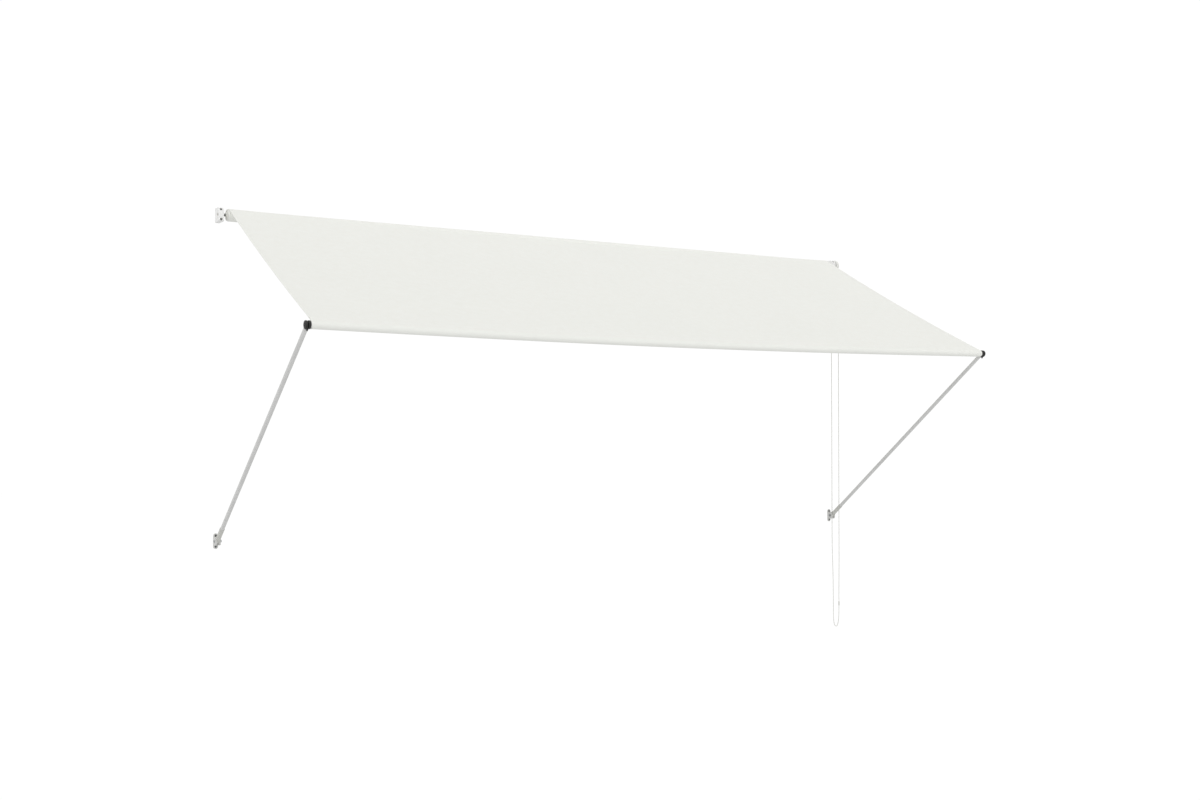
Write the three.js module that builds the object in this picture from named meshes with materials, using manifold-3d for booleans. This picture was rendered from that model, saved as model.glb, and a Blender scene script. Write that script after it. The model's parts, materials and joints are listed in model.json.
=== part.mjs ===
// Wall awning with drop arms: a cloth wound on a roller between two wall brackets, held out by a front
// bar on two swinging arms, and wound in by an endless pull cord at the roller's right end.
//
// Millimetres, +Z up. The wall is the plane Y = 0 and the awning stands on its -Y side. The origin lies on
// the wall face of the left top bracket, at the height of the roller's axis. +X runs along the wall.

import * as THREE from 'three';
import { mergeVertices } from 'three/addons/utils/BufferGeometryUtils.js';
import Module from 'manifold-3d';

const wasm = await Module();
wasm.setup();

// ---- driving dimensions ------------------------------------------------------------------------------

const ARM_SPACING = 3960; // left arm to right arm
const ROLLER_OFF_WALL = 44;
const PIVOT_OFF_WALL = 28; // lower pivots, nearer the wall than the roller
const PIVOT_DROP = 1605; // roller axis down to the lower pivots
const ARM_TILT = THREE.MathUtils.degToRad(52.4); // from the vertical, cloth fully out
const GAP = 0.3; // between pieces that touch

const ROLLER_R = 28.5;
const ROLLER_WALL = 1.5;
const ROLLER_SAG = 14; // middle of the span, under the cloth's pull and its own weight
const WOUND_R = 30.2; // outside of the turns that stay on the roller
const TUBE_LEFT = 34;
const TUBE_RIGHT = 3905;

const CLOTH = 1.0;
const CLOTH_AT_ROLLER = [38, 3900]; // side edges of the cloth
const CLOTH_AT_BAR = [15, 3945];
const CLOTH_SAG = 14; // belly between roller and bar, under its own weight
const SHEET_END = 10; // the sheet stops this far before the bar's axis

const BAR_R = 16;
const BAR_WALL = 1.2;
const BAR_SAG = 17;
const POCKET_R = 17.5;
const BAR_END = 12.8; // bar end to arm plane

const ARM_R = 10;
const ARM_WALL = 1.2;
const FOOT_R = 11.8;
const FOOT_START = 24.5; // socket's lower end, from the lower pivot
const FOOT_END = 108;
const TUBE_SEAT = 32; // tube's lower end inside the socket
const LOBE_R = 18.5; // the two halves of the joint at the bar's end
const LOBE_W = 12.5;
const BEAK_REACH = 28;
const NECK_END = 19.4; // knuckle's neck, from the bar's axis

const BRACKET_W = 26;
const TOP_PLATE_W = 27;
const TOP_PLATE_T = 5;
const TOP_PLATE_H = 73;
const TOP_BLOCK_REACH = 65; // wall to the block's front
const TOP_BLOCK_CORNERS = [24, 6]; // rounding of its front edge, above and below
const TOP_SCREW_Z = 25;
const RIGHT_BRACKET_SHIFT = -4; // right top bracket, from the right arm plane

const EAR_INNER = 7; // half the fork's slot
const EAR_OUTER = 13;
const EAR_R = 18; // pivot to the fork's front
const EAR_CORNER = 10;
const LOWER_PLATE_W = 24;
const LOWER_PLATE_T = 4;
const LOWER_PLATE_TOP = 37;
const LOWER_PLATE_BOTTOM = -40;
const LOWER_SCREW_Z = [26.5, -29];

const PIN_R = 6; // roller's axle pins
const BUSH_R = 9;
const BOLT_R = 4; // lower pivots and knuckles
const SCREW_R = 2.4;
const SCREW_HEAD_R = 5.5;

const CORD_R = 2.25;
const CORD_OUT = 19; // cord plane, outside the right arm plane
const WHEEL_R = 33; // wheel centre to cord centre
const WHEEL_W = 12;
const CORD_DROP = 2315; // roller axis down to the loop's lowest point
const JOINER_DROP = 2165;

// ---- places worked out from them ---------------------------------------------------------------------

const ROLLER_Y = -ROLLER_OFF_WALL;
const PIVOT_Y = -PIVOT_OFF_WALL;
const ARM_LENGTH = Math.hypot(PIVOT_DROP, ROLLER_OFF_WALL - PIVOT_OFF_WALL);
const BAR_Y = PIVOT_Y - ARM_LENGTH * Math.sin(ARM_TILT);
const BAR_Z = -PIVOT_DROP + ARM_LENGTH * Math.cos(ARM_TILT);
const BRACKET_RIGHT_X = ARM_SPACING + RIGHT_BRACKET_SHIFT;
const WHEEL_X = ARM_SPACING + CORD_OUT;

// ---- finishes ----------------------------------------------------------------------------------------

const finish = (color, roughness, metalness = 0) =>
  new THREE.MeshStandardMaterial({ color, roughness, metalness });

const WHITE_METAL = finish(0xe4e4e0, 0.45, 0.2);
const WHITE_PLASTIC = finish(0xdcdcd6, 0.5);
const BLACK_PLASTIC = finish(0x1c1c1a, 0.45);
const CLOTH_FINISH = finish(0xedeee9, 0.9);
const CORD_FINISH = finish(0xe9e9e6, 0.85);
const ZINC = finish(0xb9bbbd, 0.35, 0.9);
const BLACK_METAL = finish(0x262625, 0.4, 0.6);
const NYLON = finish(0xd6d5cc, 0.6);

// ---- solids ------------------------------------------------------------------------------------------

// A closed geometry as a solid: vertices merged, triangles without area dropped, faces turned outwards.
function solid(geometry) {
  const bare = geometry.clone();
  bare.deleteAttribute('normal');
  bare.deleteAttribute('uv');
  const merged = mergeVertices(bare, 1e-4);
  const points = merged.attributes.position;
  const index = merged.index.array;
  const triangles = [];
  const corners = [new THREE.Vector3(), new THREE.Vector3(), new THREE.Vector3()];
  let volume = 0;
  for (let i = 0; i < index.length; i += 3) {
    const [a, b, c] = [index[i], index[i + 1], index[i + 2]];
    if (a === b || b === c || c === a) continue;
    triangles.push(a, b, c);
    [a, b, c].forEach((vertex, k) => corners[k].fromBufferAttribute(points, vertex));
    volume += corners[0].dot(corners[1].clone().cross(corners[2]));
  }
  if (volume < 0) triangles.reverse();
  const vertProperties = Float32Array.from(points.array);
  const triVerts = Uint32Array.from(triangles);
  return new wasm.Manifold(new wasm.Mesh({ numProp: 3, vertProperties, triVerts }));
}

function geometryOf(body) {
  const { vertProperties, triVerts } = body.getMesh();
  const geometry = new THREE.BufferGeometry();
  geometry.setAttribute('position', new THREE.BufferAttribute(Float32Array.from(vertProperties), 3));
  geometry.setIndex(new THREE.BufferAttribute(Uint32Array.from(triVerts), 1));
  geometry.computeVertexNormals();
  return geometry;
}

const between = (a, b) => [Math.min(a, b), Math.max(a, b)];
const join = (...bodies) => bodies.reduce((sum, body) => sum.add(body));
const cut = (body, ...tools) => tools.reduce((rest, tool) => rest.subtract(tool), body);

function box(x, y, z) {
  const size = [x[1] - x[0], y[1] - y[0], z[1] - z[0]];
  const geometry = new THREE.BoxGeometry(...size);
  geometry.translate((x[0] + x[1]) / 2, (y[0] + y[1]) / 2, (z[0] + z[1]) / 2);
  return solid(geometry);
}

// Cylinders along X, Y or Z between two stations of that axis; (p, q) is the centre on the other two.
function rodX(radius, from, to, y = 0, z = 0, sides = 20) {
  const geometry = new THREE.CylinderGeometry(radius, radius, to - from, sides);
  geometry.rotateZ(-Math.PI / 2).translate((from + to) / 2, y, z);
  return solid(geometry);
}

function rodY(radius, from, to, x = 0, z = 0, sides = 12) {
  const geometry = new THREE.CylinderGeometry(radius, radius, to - from, sides);
  geometry.translate(x, (from + to) / 2, z);
  return solid(geometry);
}

function rodZ(radius, from, to, x = 0, y = 0, sides = 20) {
  const geometry = new THREE.CylinderGeometry(radius, radius, to - from, sides);
  geometry.rotateX(Math.PI / 2).translate(x, y, (from + to) / 2);
  return solid(geometry);
}

// A turned piece about X: [station, radius] pairs. A bored one closes on itself, a solid one on the axis.
function turnedX(profile, sides = 24) {
  const points = profile.map(([station, radius]) => new THREE.Vector2(radius, station));
  return solid(new THREE.LatheGeometry(points, sides).rotateZ(-Math.PI / 2));
}

// A plate across X whose outline is drawn in (Y, Z).
function plateX(shape, from, to, curveSegments = 8) {
  const geometry = new THREE.ExtrudeGeometry(shape, { depth: to - from, bevelEnabled: false, curveSegments });
  const turn = new THREE.Matrix4().makeBasis(
    new THREE.Vector3(0, 1, 0),
    new THREE.Vector3(0, 0, 1),
    new THREE.Vector3(1, 0, 0),
  );
  return solid(geometry.applyMatrix4(turn).translate(from, 0, 0));
}

// A plate across Y whose outline is drawn in (X, Z).
function plateY(shape, from, to, curveSegments = 5) {
  const geometry = new THREE.ExtrudeGeometry(shape, { depth: to - from, bevelEnabled: false, curveSegments });
  return solid(geometry.rotateX(Math.PI / 2).translate(0, to, 0));
}

// Share of the middle deflection at u along a beam held at both ends and loaded by its own weight.
const beam = (u) => 3.2 * (u - 2 * u ** 3 + u ** 4);

// A stretch of a sagging line along X; the whole line spans `span` and drops by `drop` in the middle.
class SaggingLine extends THREE.Curve {
  constructor(from, to, span, drop) {
    super();
    Object.assign(this, { from, to, span, drop });
  }

  getPoint(t, target = new THREE.Vector3()) {
    const x = this.from + (this.to - this.from) * t;
    const u = (x - this.span[0]) / (this.span[1] - this.span[0]);
    return target.set(x, 0, -this.drop * beam(u));
  }

  // Sections stay upright, so that the ends are square to the plugs.
  getTangent(t, target = new THREE.Vector3()) {
    return target.set(1, 0, 0);
  }
}

function pipe(outer, inner, path, steps, sides) {
  const ring = new THREE.Shape().absarc(0, 0, outer, 0, 2 * Math.PI);
  ring.holes.push(new THREE.Path().absarc(0, 0, inner, 0, 2 * Math.PI));
  return solid(new THREE.ExtrudeGeometry(ring, { extrudePath: path, steps, curveSegments: sides / 2 }));
}

function roundedRect(width, low, high, radius) {
  const half = width / 2;
  const shape = new THREE.Shape();
  shape.absarc(half - radius, low + radius, radius, -Math.PI / 2, 0);
  shape.absarc(half - radius, high - radius, radius, 0, Math.PI / 2);
  shape.absarc(-half + radius, high - radius, radius, Math.PI / 2, Math.PI);
  shape.absarc(-half + radius, low + radius, radius, Math.PI, 1.5 * Math.PI);
  return shape;
}

// ---- the assembly ------------------------------------------------------------------------------------

const awning = new THREE.Group();

function place(name, body, material, parent = awning) {
  const mesh = new THREE.Mesh(geometryOf(body), material);
  mesh.name = name;
  parent.add(mesh);
  return mesh;
}

function groupAt(x, y, z, turnX = 0) {
  const group = new THREE.Group();
  group.position.set(x, y, z);
  group.rotation.x = turnX;
  awning.add(group);
  return group;
}

// ---- top brackets ------------------------------------------------------------------------------------

// Outline in (Y, Z) of the block that carries the roller, with a well rounded upper front edge.
function blockOutline() {
  const half = TOP_PLATE_H / 2 - 2;
  const [above, below] = TOP_BLOCK_CORNERS;
  const shape = new THREE.Shape();
  shape.moveTo(-1, -half);
  shape.lineTo(-1, half);
  shape.absarc(-TOP_BLOCK_REACH + above, half - above, above, 0.5 * Math.PI, Math.PI);
  shape.absarc(-TOP_BLOCK_REACH + below, below - half, below, Math.PI, 1.5 * Math.PI);
  return shape;
}

function topBracket() {
  const plate = plateY(roundedRect(TOP_PLATE_W, -TOP_PLATE_H / 2, TOP_PLATE_H / 2, 6), -TOP_PLATE_T, 0);
  const block = plateX(blockOutline(), -BRACKET_W / 2, BRACKET_W / 2);
  const bore = rodX(BUSH_R + GAP, -BRACKET_W, BRACKET_W, ROLLER_Y, 0);
  const tools = [TOP_SCREW_Z, -TOP_SCREW_Z].flatMap((z) => [
    rodY(SCREW_HEAD_R + 1.5, -80, -TOP_PLATE_T, 0, z),
    rodY(SCREW_R + GAP, -20, 10, 0, z),
  ]);
  return cut(join(plate, block), bore, ...tools);
}

// Flanged bearing bush; `side` is +1 where the roller lies towards +X.
function axleBush(side) {
  const half = BRACKET_W / 2;
  const inner = PIN_R + GAP;
  const flange = half + GAP + 2;
  const profile = [
    [-half + 1, inner],
    [-half + 1, BUSH_R],
    [half + GAP, BUSH_R],
    [half + GAP, BUSH_R + 3],
    [flange, BUSH_R + 3],
    [flange, inner],
    [-half + 1, inner],
  ];
  return turnedX(profile.map(([station, radius]) => [side * station, radius]), 16);
}

// ---- lower brackets ----------------------------------------------------------------------------------

function earOutline() {
  const half = EAR_R + 2;
  const corner = { y: PIVOT_Y - EAR_R + EAR_CORNER, z: half - EAR_CORNER };
  const shape = new THREE.Shape();
  shape.moveTo(-LOWER_PLATE_T / 2, -half);
  shape.lineTo(-LOWER_PLATE_T / 2, half);
  shape.absarc(corner.y, corner.z, EAR_CORNER, 0.5 * Math.PI, Math.PI);
  shape.absarc(corner.y, -corner.z, EAR_CORNER, Math.PI, 1.5 * Math.PI);
  return shape;
}

function lowerBracket() {
  const outline = roundedRect(LOWER_PLATE_W, LOWER_PLATE_BOTTOM, LOWER_PLATE_TOP, LOWER_PLATE_W / 2 - 0.01);
  const plate = plateY(outline, -LOWER_PLATE_T, 0);
  const ears = [-1, 1].map((side) => {
    return plateX(earOutline(), ...between(side * EAR_INNER, side * EAR_OUTER));
  });
  const web = box([-EAR_OUTER, EAR_OUTER], [-9, -LOWER_PLATE_T / 2], [-EAR_R - 2, EAR_R + 2]);
  const bore = rodX(BOLT_R + GAP, -40, 40, PIVOT_Y, 0, 20);
  const holes = LOWER_SCREW_Z.map((z) => rodY(SCREW_R + GAP, -20, 10, 0, z));
  return cut(join(plate, ...ears, web), bore, ...holes);
}

// Pan-head screw lying along Y; the head bears on the plate and the shank ends inside it.
function wallScrew(plateThickness) {
  const neck = -plateThickness - GAP;
  const head = [
    [neck - 3.4, 0],
    [neck - 3.0, 3.2],
    [neck - 0.8, SCREW_HEAD_R],
    [neck, SCREW_HEAD_R],
    [neck, SCREW_R],
    [-GAP, SCREW_R],
    [-GAP, 0],
  ];
  const points = head.map(([station, radius]) => new THREE.Vector2(radius, station));
  const driveSlot = box([-0.6, 0.6], [neck - 5, neck - 2.2], [-3.6, 3.6]);
  const crossSlot = box([-3.6, 3.6], [neck - 5, neck - 2.2], [-0.6, 0.6]);
  return cut(solid(new THREE.LatheGeometry(points, 12)), driveSlot, crossSlot);
}

// ---- roller ------------------------------------------------------------------------------------------

const rollerSpan = [TUBE_LEFT, TUBE_RIGHT];
const rollerLine = (from, to) => new SaggingLine(from, to, rollerSpan, ROLLER_SAG);

function rollerTube() {
  return pipe(ROLLER_R, ROLLER_R - ROLLER_WALL, rollerLine(TUBE_LEFT, TUBE_RIGHT), 12, 20);
}

function woundCloth() {
  return pipe(WOUND_R, ROLLER_R + GAP, rollerLine(...CLOTH_AT_ROLLER), 12, 20);
}

// End plug with its axle pin. Stations run from the tube's end outwards; `side` is -1 at the left end.
function rollerPlug(side, tubeEnd, hubEnd, hubRadius, pinEnd, screwBore) {
  const spigot = ROLLER_R - ROLLER_WALL - 0.8;
  const out = (station) => side * station + tubeEnd;
  const profile = [
    [out(-34), 0],
    [out(-34), spigot - 2],
    [out(-31), spigot],
    [out(GAP), spigot],
    [out(GAP), ROLLER_R],
    [out(1.8), ROLLER_R],
    [out(5.5), hubRadius + 1],
    [out(6.5), hubRadius],
    [hubEnd, hubRadius],
    [hubEnd, PIN_R],
    [pinEnd - side, PIN_R],
    [pinEnd, PIN_R - 1],
    [pinEnd, 0],
  ];
  const plug = turnedX(profile);
  if (!screwBore) return plug;
  return cut(plug, rodX(SCREW_R + GAP, pinEnd - 14, pinEnd + 1, 0, 0, 16));
}

function cordWheel() {
  const groove = WHEEL_R - CORD_R - GAP;
  const rim = WHEEL_R + 2.5;
  const half = WHEEL_W / 2;
  const bore = PIN_R + GAP;
  const profile = [
    [-half, bore],
    [-half, 11],
    [-half + 3.5, 12],
    [-half + 3.5, 24],
    [-half, 26],
    [-half, rim],
    [-half + 1.4, rim],
    [-2.6, groove],
    [2.6, groove],
    [half - 1.4, rim],
    [half, rim],
    [half, 26],
    [half - 3.5, 24],
    [half - 3.5, 12],
    [half, 11],
    [half, bore],
    [-half, bore],
  ];
  return turnedX(profile, 32);
}

function wheelScrew() {
  const face = WHEEL_W / 2 + GAP;
  return turnedX([
    [face - 13, 0],
    [face - 13, SCREW_R],
    [face, SCREW_R],
    [face, 8],
    [face + 1.6, 8],
    [face + 3.2, 5],
    [face + 3.2, 0],
  ], 16);
}

// Finger under the wheel that keeps the cord's two runs apart, on a foot against the bracket's side.
function cordGuard() {
  const face = BRACKET_RIGHT_X + BRACKET_W / 2 + GAP;
  const reach = WHEEL_R - CORD_R - 4;
  const foot = box([face, face + 2], [ROLLER_Y - 10, ROLLER_Y + 10], [-44, -13]);
  const finger = box([face, WHEEL_X + 8], [ROLLER_Y - reach, ROLLER_Y + reach], [-44, -41]);
  return cut(join(foot, finger), rodX(PIN_R + 1.5, face - 5, face + 5, ROLLER_Y, 0));
}

// ---- cloth -------------------------------------------------------------------------------------------

// The stretched cloth between roller and bar: a thin slab whose two ends follow the sagging lines.
function canopySheet() {
  const run = Math.hypot(BAR_Y - ROLLER_Y, BAR_Z);
  const along = { y: (BAR_Y - ROLLER_Y) / run, z: BAR_Z / run };
  const up = { y: along.z, z: -along.y };
  const length = run - SHEET_END;
  const offRoller = WOUND_R + GAP + CLOTH / 2;
  const offBar = BAR_R + CLOTH / 2;
  const geometry = new THREE.BoxGeometry(1, 1, 1, 14, 6, 1);
  const points = geometry.attributes.position;
  for (let i = 0; i < points.count; i += 1) {
    const v = 0.5 - points.getY(i);
    const left = THREE.MathUtils.lerp(CLOTH_AT_ROLLER[0], CLOTH_AT_BAR[0], v);
    const right = THREE.MathUtils.lerp(CLOTH_AT_ROLLER[1], CLOTH_AT_BAR[1], v);
    const x = THREE.MathUtils.lerp(left, right, points.getX(i) + 0.5);
    const off = THREE.MathUtils.lerp(offRoller, offBar, v) + points.getZ(i) * CLOTH;
    const atRoller = ROLLER_SAG * beam(THREE.MathUtils.clamp((x - TUBE_LEFT) / (TUBE_RIGHT - TUBE_LEFT), 0, 1));
    const atBar = BAR_SAG * beam((x - BAR_END) / (ARM_SPACING - 2 * BAR_END));
    const drop = THREE.MathUtils.lerp(atRoller, atBar, v) + 4 * CLOTH_SAG * v * (1 - v);
    points.setXYZ(i, x, along.y * length * v + up.y * off, along.z * length * v + up.z * off - drop);
  }
  return solid(geometry.translate(0, ROLLER_Y, 0));
}

const barSpan = [BAR_END, ARM_SPACING - BAR_END];
const barLine = (from, to) => new SaggingLine(from, to, barSpan, BAR_SAG);

function frontBar() {
  return pipe(BAR_R, BAR_R - BAR_WALL, barLine(...barSpan), 12, 16);
}

function hemPocket() {
  return pipe(POCKET_R, BAR_R + GAP, barLine(...CLOTH_AT_BAR), 12, 16);
}

// ---- arm ends ----------------------------------------------------------------------------------------
// Arm pieces stand on their lower pivot with the arm along +Z; `out` is -1 on the left arm, +1 on the
// right, and points away from the awning's middle.

// Cap in the bar's end: the inner of the two black lobes, bored for the knuckle's screw.
function barCap(out) {
  const spigot = BAR_R - BAR_WALL - 0.8;
  const profile = [
    [-out * 0.9, BOLT_R + GAP],
    [-out * 0.9, 15.8],
    [-out * 2.2, 17.7],
    [-out * 4.2, LOBE_R],
    [-out * 10, LOBE_R],
    [-out * 12, 17.4],
    [-out * LOBE_W, 15.5],
    [-out * LOBE_W, spigot],
    [-out * 44, spigot],
    [-out * 46, spigot - 2],
    [-out * 46, 0],
    [-out * 28, 0],
    [-out * 28, BOLT_R + GAP],
    [-out * 0.9, BOLT_R + GAP],
  ];
  return turnedX(profile);
}

// Knuckle on the arm's top: the outer lobe, a pointed stop lug, and a neck that plugs the tube.
function armKnuckle(out) {
  const inner = 1.2;
  const lobe = turnedX([
    [out * inner, 0],
    [out * inner, 15.8],
    [out * 2.5, 17.7],
    [out * 4.5, LOBE_R],
    [out * 9, LOBE_R],
    [out * 11.6, 16.8],
    [out * LOBE_W, 13.5],
    [out * LOBE_W, 0],
  ]);
  const otherHalf = box(between(-out * 20, out * inner), [-20, 20], [-30, 0]);
  const saddle = cut(rodZ(9.4, -NECK_END, -12), otherHalf);
  const tie = box(between(out * inner, out * 6.3), [-5.3, 5.3], [-NECK_END - 5, -12]);
  const spigot = rodZ(ARM_R - ARM_WALL - 0.4, -NECK_END - 40, -NECK_END - 0.3);
  const body = join(lobe, saddle, tie, spigot, knuckleBeak(out, inner));
  const bore = rodX(BOLT_R + GAP, -30, 30, 0, 0, 20);
  return cut(body, bore).translate([0, 0, ARM_LENGTH]);
}

// Pointed lug under the joint: it hangs straight down when the cloth is out, and clears the bar's cap.
function knuckleBeak(out, inner) {
  const down = 1.5 * Math.PI - ARM_TILT;
  const shape = new THREE.Shape();
  shape.moveTo(BEAK_REACH * Math.cos(down), BEAK_REACH * Math.sin(down));
  shape.absarc(0, 0, 16.5, down - 0.5, down + 0.5);
  const whole = plateX(shape, ...between(-out * 5, out * 7));
  return cut(whole, rodX(LOBE_R + 0.8, ...between(-out * 6, out * inner), 0, 0, 32));
}

function knuckleScrew(out) {
  const face = LOBE_W + GAP;
  const screw = turnedX([
    [out * (face + 2.6), 0],
    [out * (face + 2.6), 4],
    [out * (face + 1.4), 6.5],
    [out * face, 7],
    [out * face, BOLT_R],
    [-out * 26, BOLT_R],
    [-out * 26, 0],
  ], 16);
  const hex = new THREE.CylinderGeometry(2.9, 2.9, 3, 6).rotateZ(Math.PI / 2).translate(out * (face + 2.6), 0, 0);
  return cut(screw, solid(hex)).translate([0, 0, ARM_LENGTH]);
}

function armTube() {
  const top = ARM_LENGTH - NECK_END - GAP;
  return cut(rodZ(ARM_R, TUBE_SEAT + GAP, top), rodZ(ARM_R - ARM_WALL, 0, ARM_LENGTH));
}

// Foot: a socket round the tube's lower end, on a tongue that turns in the bracket's fork.
function armFoot() {
  const half = EAR_INNER - 0.5;
  const outline = new THREE.Shape();
  outline.moveTo(11, FOOT_START + 2);
  outline.lineTo(-11, FOOT_START + 2);
  outline.absarc(0, 0, 12.5, Math.PI * 0.97, Math.PI * 2.03);
  const tongue = plateX(outline, -half, half, 10);
  const socket = rodZ(FOOT_R, FOOT_START, FOOT_END);
  const seat = rodZ(ARM_R + GAP, TUBE_SEAT, FOOT_END + 1);
  const bore = rodX(BOLT_R + GAP, -30, 30, 0, 0, 20);
  return cut(join(tongue, socket), seat, bore);
}

// ---- lower pivots ------------------------------------------------------------------------------------

function pivotBolt(out) {
  const face = EAR_OUTER + GAP;
  return turnedX([
    [out * (face + 4), 0],
    [out * (face + 4), 4],
    [out * (face + 2.6), 6.2],
    [out * face, 6.8],
    [out * face, BOLT_R],
    [-out * (EAR_OUTER + 8.5), BOLT_R],
    [-out * (EAR_OUTER + 8.5), 0],
  ], 16);
}

function pivotNut(out) {
  const face = EAR_OUTER + GAP;
  const stations = [-out * face, -out * (face + 6.5)];
  const middle = (stations[0] + stations[1]) / 2;
  const hex = new THREE.CylinderGeometry(7.5, 7.5, 6.5, 6).rotateZ(Math.PI / 2).translate(middle, 0, 0);
  return cut(solid(hex), rodX(BOLT_R + GAP, middle - 9, middle + 9, 0, 0, 20));
}

// ---- pull cord ---------------------------------------------------------------------------------------

// A curve through its points whose steps follow the points, so that close points make short steps.
class RoutedCurve extends THREE.CatmullRomCurve3 {
  getPointAt(u, target) {
    return this.getPoint(u, target);
  }

  getTangentAt(u, target) {
    return this.getTangent(u, target);
  }
}

// The loop from the wheel's top over its front, down, round the bottom and up the back to the top again.
// Offsets are [off the roller's axis towards the room, down from it].
const FRONT_RUN = [
  [33, 60], [33, 300], [33, 700], [33, 1200], [33, 1700], [32.5, 1900], [31, 2020], [30, 2100],
  [30, 2150], [30, 2180], [29.4, 2220], [27, 2256], [21.5, 2288], [12.5, 2308],
];
const BACK_RUN = [
  [1.5, 2315], [-9.5, 2310], [-18.5, 2291], [-22.4, 2260], [-23.2, 2220], [-23.6, 2140], [-24.4, 2050],
  [-27, 1940], [-32, 1820], [-33, 1700], [-33, 1200], [-33, 700], [-33, 300], [-33, 60],
];

function cordPoints() {
  const quarter = Array.from({ length: 7 }, (_, i) => (i * Math.PI) / 12);
  const over = quarter.map((a) => [WHEEL_R * Math.sin(a), -WHEEL_R * Math.cos(a)]);
  over[0][0] = GAP / 2;
  const back = quarter.map((a) => [-WHEEL_R * Math.cos(a), -WHEEL_R * Math.sin(a)]);
  back[6][0] = -GAP / 2;
  const stations = [...over, ...FRONT_RUN, ...BACK_RUN, ...back];
  return stations.map(([off, down]) => new THREE.Vector3(WHEEL_X, ROLLER_Y - off, -down));
}

function pullCord() {
  const points = cordPoints();
  const path = new RoutedCurve(points, false, 'centripetal');
  const section = new THREE.Shape().absarc(0, 0, CORD_R, 0, 2 * Math.PI);
  const steps = points.length - 1;
  return solid(new THREE.ExtrudeGeometry(section, { extrudePath: path, steps, curveSegments: 4 }));
}

// Sleeve that joins the cord's two ends, low on the front run.
function cordJoiner() {
  const inner = CORD_R + 0.4;
  const half = 13;
  const profile = [
    [-half, inner],
    [-half, 3.6],
    [-half + 2, 4.5],
    [half - 2, 4.5],
    [half, 3.6],
    [half, inner],
    [-half, inner],
  ];
  const points = profile.map(([station, radius]) => new THREE.Vector2(radius, station));
  return solid(new THREE.LatheGeometry(points, 16).rotateX(Math.PI / 2));
}

// ---- put together ------------------------------------------------------------------------------------

function placeWallFittings() {
  const ends = [
    { side: 'left', out: -1, topX: 0, lowX: 0 },
    { side: 'right', out: 1, topX: BRACKET_RIGHT_X, lowX: ARM_SPACING },
  ];
  for (const { side, out, topX, lowX } of ends) {
    const top = groupAt(topX, 0, 0);
    place(`top_bracket_${side}`, topBracket(), WHITE_METAL, top);
    place(`axle_bush_${side}`, axleBush(-out), NYLON, top).position.y = ROLLER_Y;
    place(`top_screw_upper_${side}`, wallScrew(TOP_PLATE_T), ZINC, top).position.z = TOP_SCREW_Z;
    place(`top_screw_lower_${side}`, wallScrew(TOP_PLATE_T), ZINC, top).position.z = -TOP_SCREW_Z;

    const low = groupAt(lowX, 0, -PIVOT_DROP);
    place(`lower_bracket_${side}`, lowerBracket(), WHITE_METAL, low);
    place(`lower_screw_upper_${side}`, wallScrew(LOWER_PLATE_T), ZINC, low).position.z = LOWER_SCREW_Z[0];
    place(`lower_screw_lower_${side}`, wallScrew(LOWER_PLATE_T), ZINC, low).position.z = LOWER_SCREW_Z[1];

    const pivot = groupAt(lowX, PIVOT_Y, -PIVOT_DROP);
    place(`pivot_bolt_${side}`, pivotBolt(out), ZINC, pivot);
    place(`pivot_nut_${side}`, pivotNut(out), ZINC, pivot);
  }
  place('cord_guard', cordGuard(), WHITE_PLASTIC);
}

function placeRoller() {
  const roller = groupAt(0, ROLLER_Y, 0);
  place('roller_tube', rollerTube(), WHITE_METAL, roller);
  place('wound_cloth', woundCloth(), CLOTH_FINISH, roller);
  const bushFace = BRACKET_W / 2 + 2 + 2 * GAP;
  const leftPin = -BRACKET_W / 2 + 2;
  place('roller_plug_left', rollerPlug(-1, TUBE_LEFT, bushFace, 7, leftPin, false), WHITE_PLASTIC, roller);
  const rightHub = BRACKET_RIGHT_X - bushFace;
  const rightPin = WHEEL_X + WHEEL_W / 2 - 1;
  place('roller_plug_right', rollerPlug(1, TUBE_RIGHT, rightHub, 14, rightPin, true), WHITE_PLASTIC, roller);
  place('cord_wheel', cordWheel(), WHITE_PLASTIC, roller).position.x = WHEEL_X;
  place('wheel_screw', wheelScrew(), ZINC, roller).position.x = WHEEL_X;
}

function placeClothAndBar() {
  place('canopy_sheet', canopySheet(), CLOTH_FINISH);
  const bar = groupAt(0, BAR_Y, BAR_Z);
  place('front_bar', frontBar(), WHITE_METAL, bar);
  place('hem_pocket', hemPocket(), CLOTH_FINISH, bar);
  place('bar_cap_left', barCap(-1), BLACK_PLASTIC, bar);
  place('bar_cap_right', barCap(1), BLACK_PLASTIC, bar).position.x = ARM_SPACING;
}

function placeArm(side, out, x) {
  const arm = groupAt(x, PIVOT_Y, -PIVOT_DROP, ARM_TILT);
  place(`arm_tube_${side}`, armTube(), WHITE_METAL, arm);
  place(`arm_foot_${side}`, armFoot(), WHITE_PLASTIC, arm);
  place(`arm_knuckle_${side}`, armKnuckle(out), BLACK_PLASTIC, arm);
  place(`knuckle_screw_${side}`, knuckleScrew(out), BLACK_METAL, arm);
}

function placeCord() {
  place('pull_cord', pullCord(), CORD_FINISH);
  const joiner = place('cord_joiner', cordJoiner(), WHITE_PLASTIC);
  joiner.position.set(WHEEL_X, ROLLER_Y - 30, -JOINER_DROP);
}

placeWallFittings();
placeRoller();
placeClothAndBar();
placeArm('left', -1, 0);
placeArm('right', 1, ARM_SPACING);
placeCord();

export default awning;
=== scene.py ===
import json
import math

import bpy
from mathutils import Matrix, Vector

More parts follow.
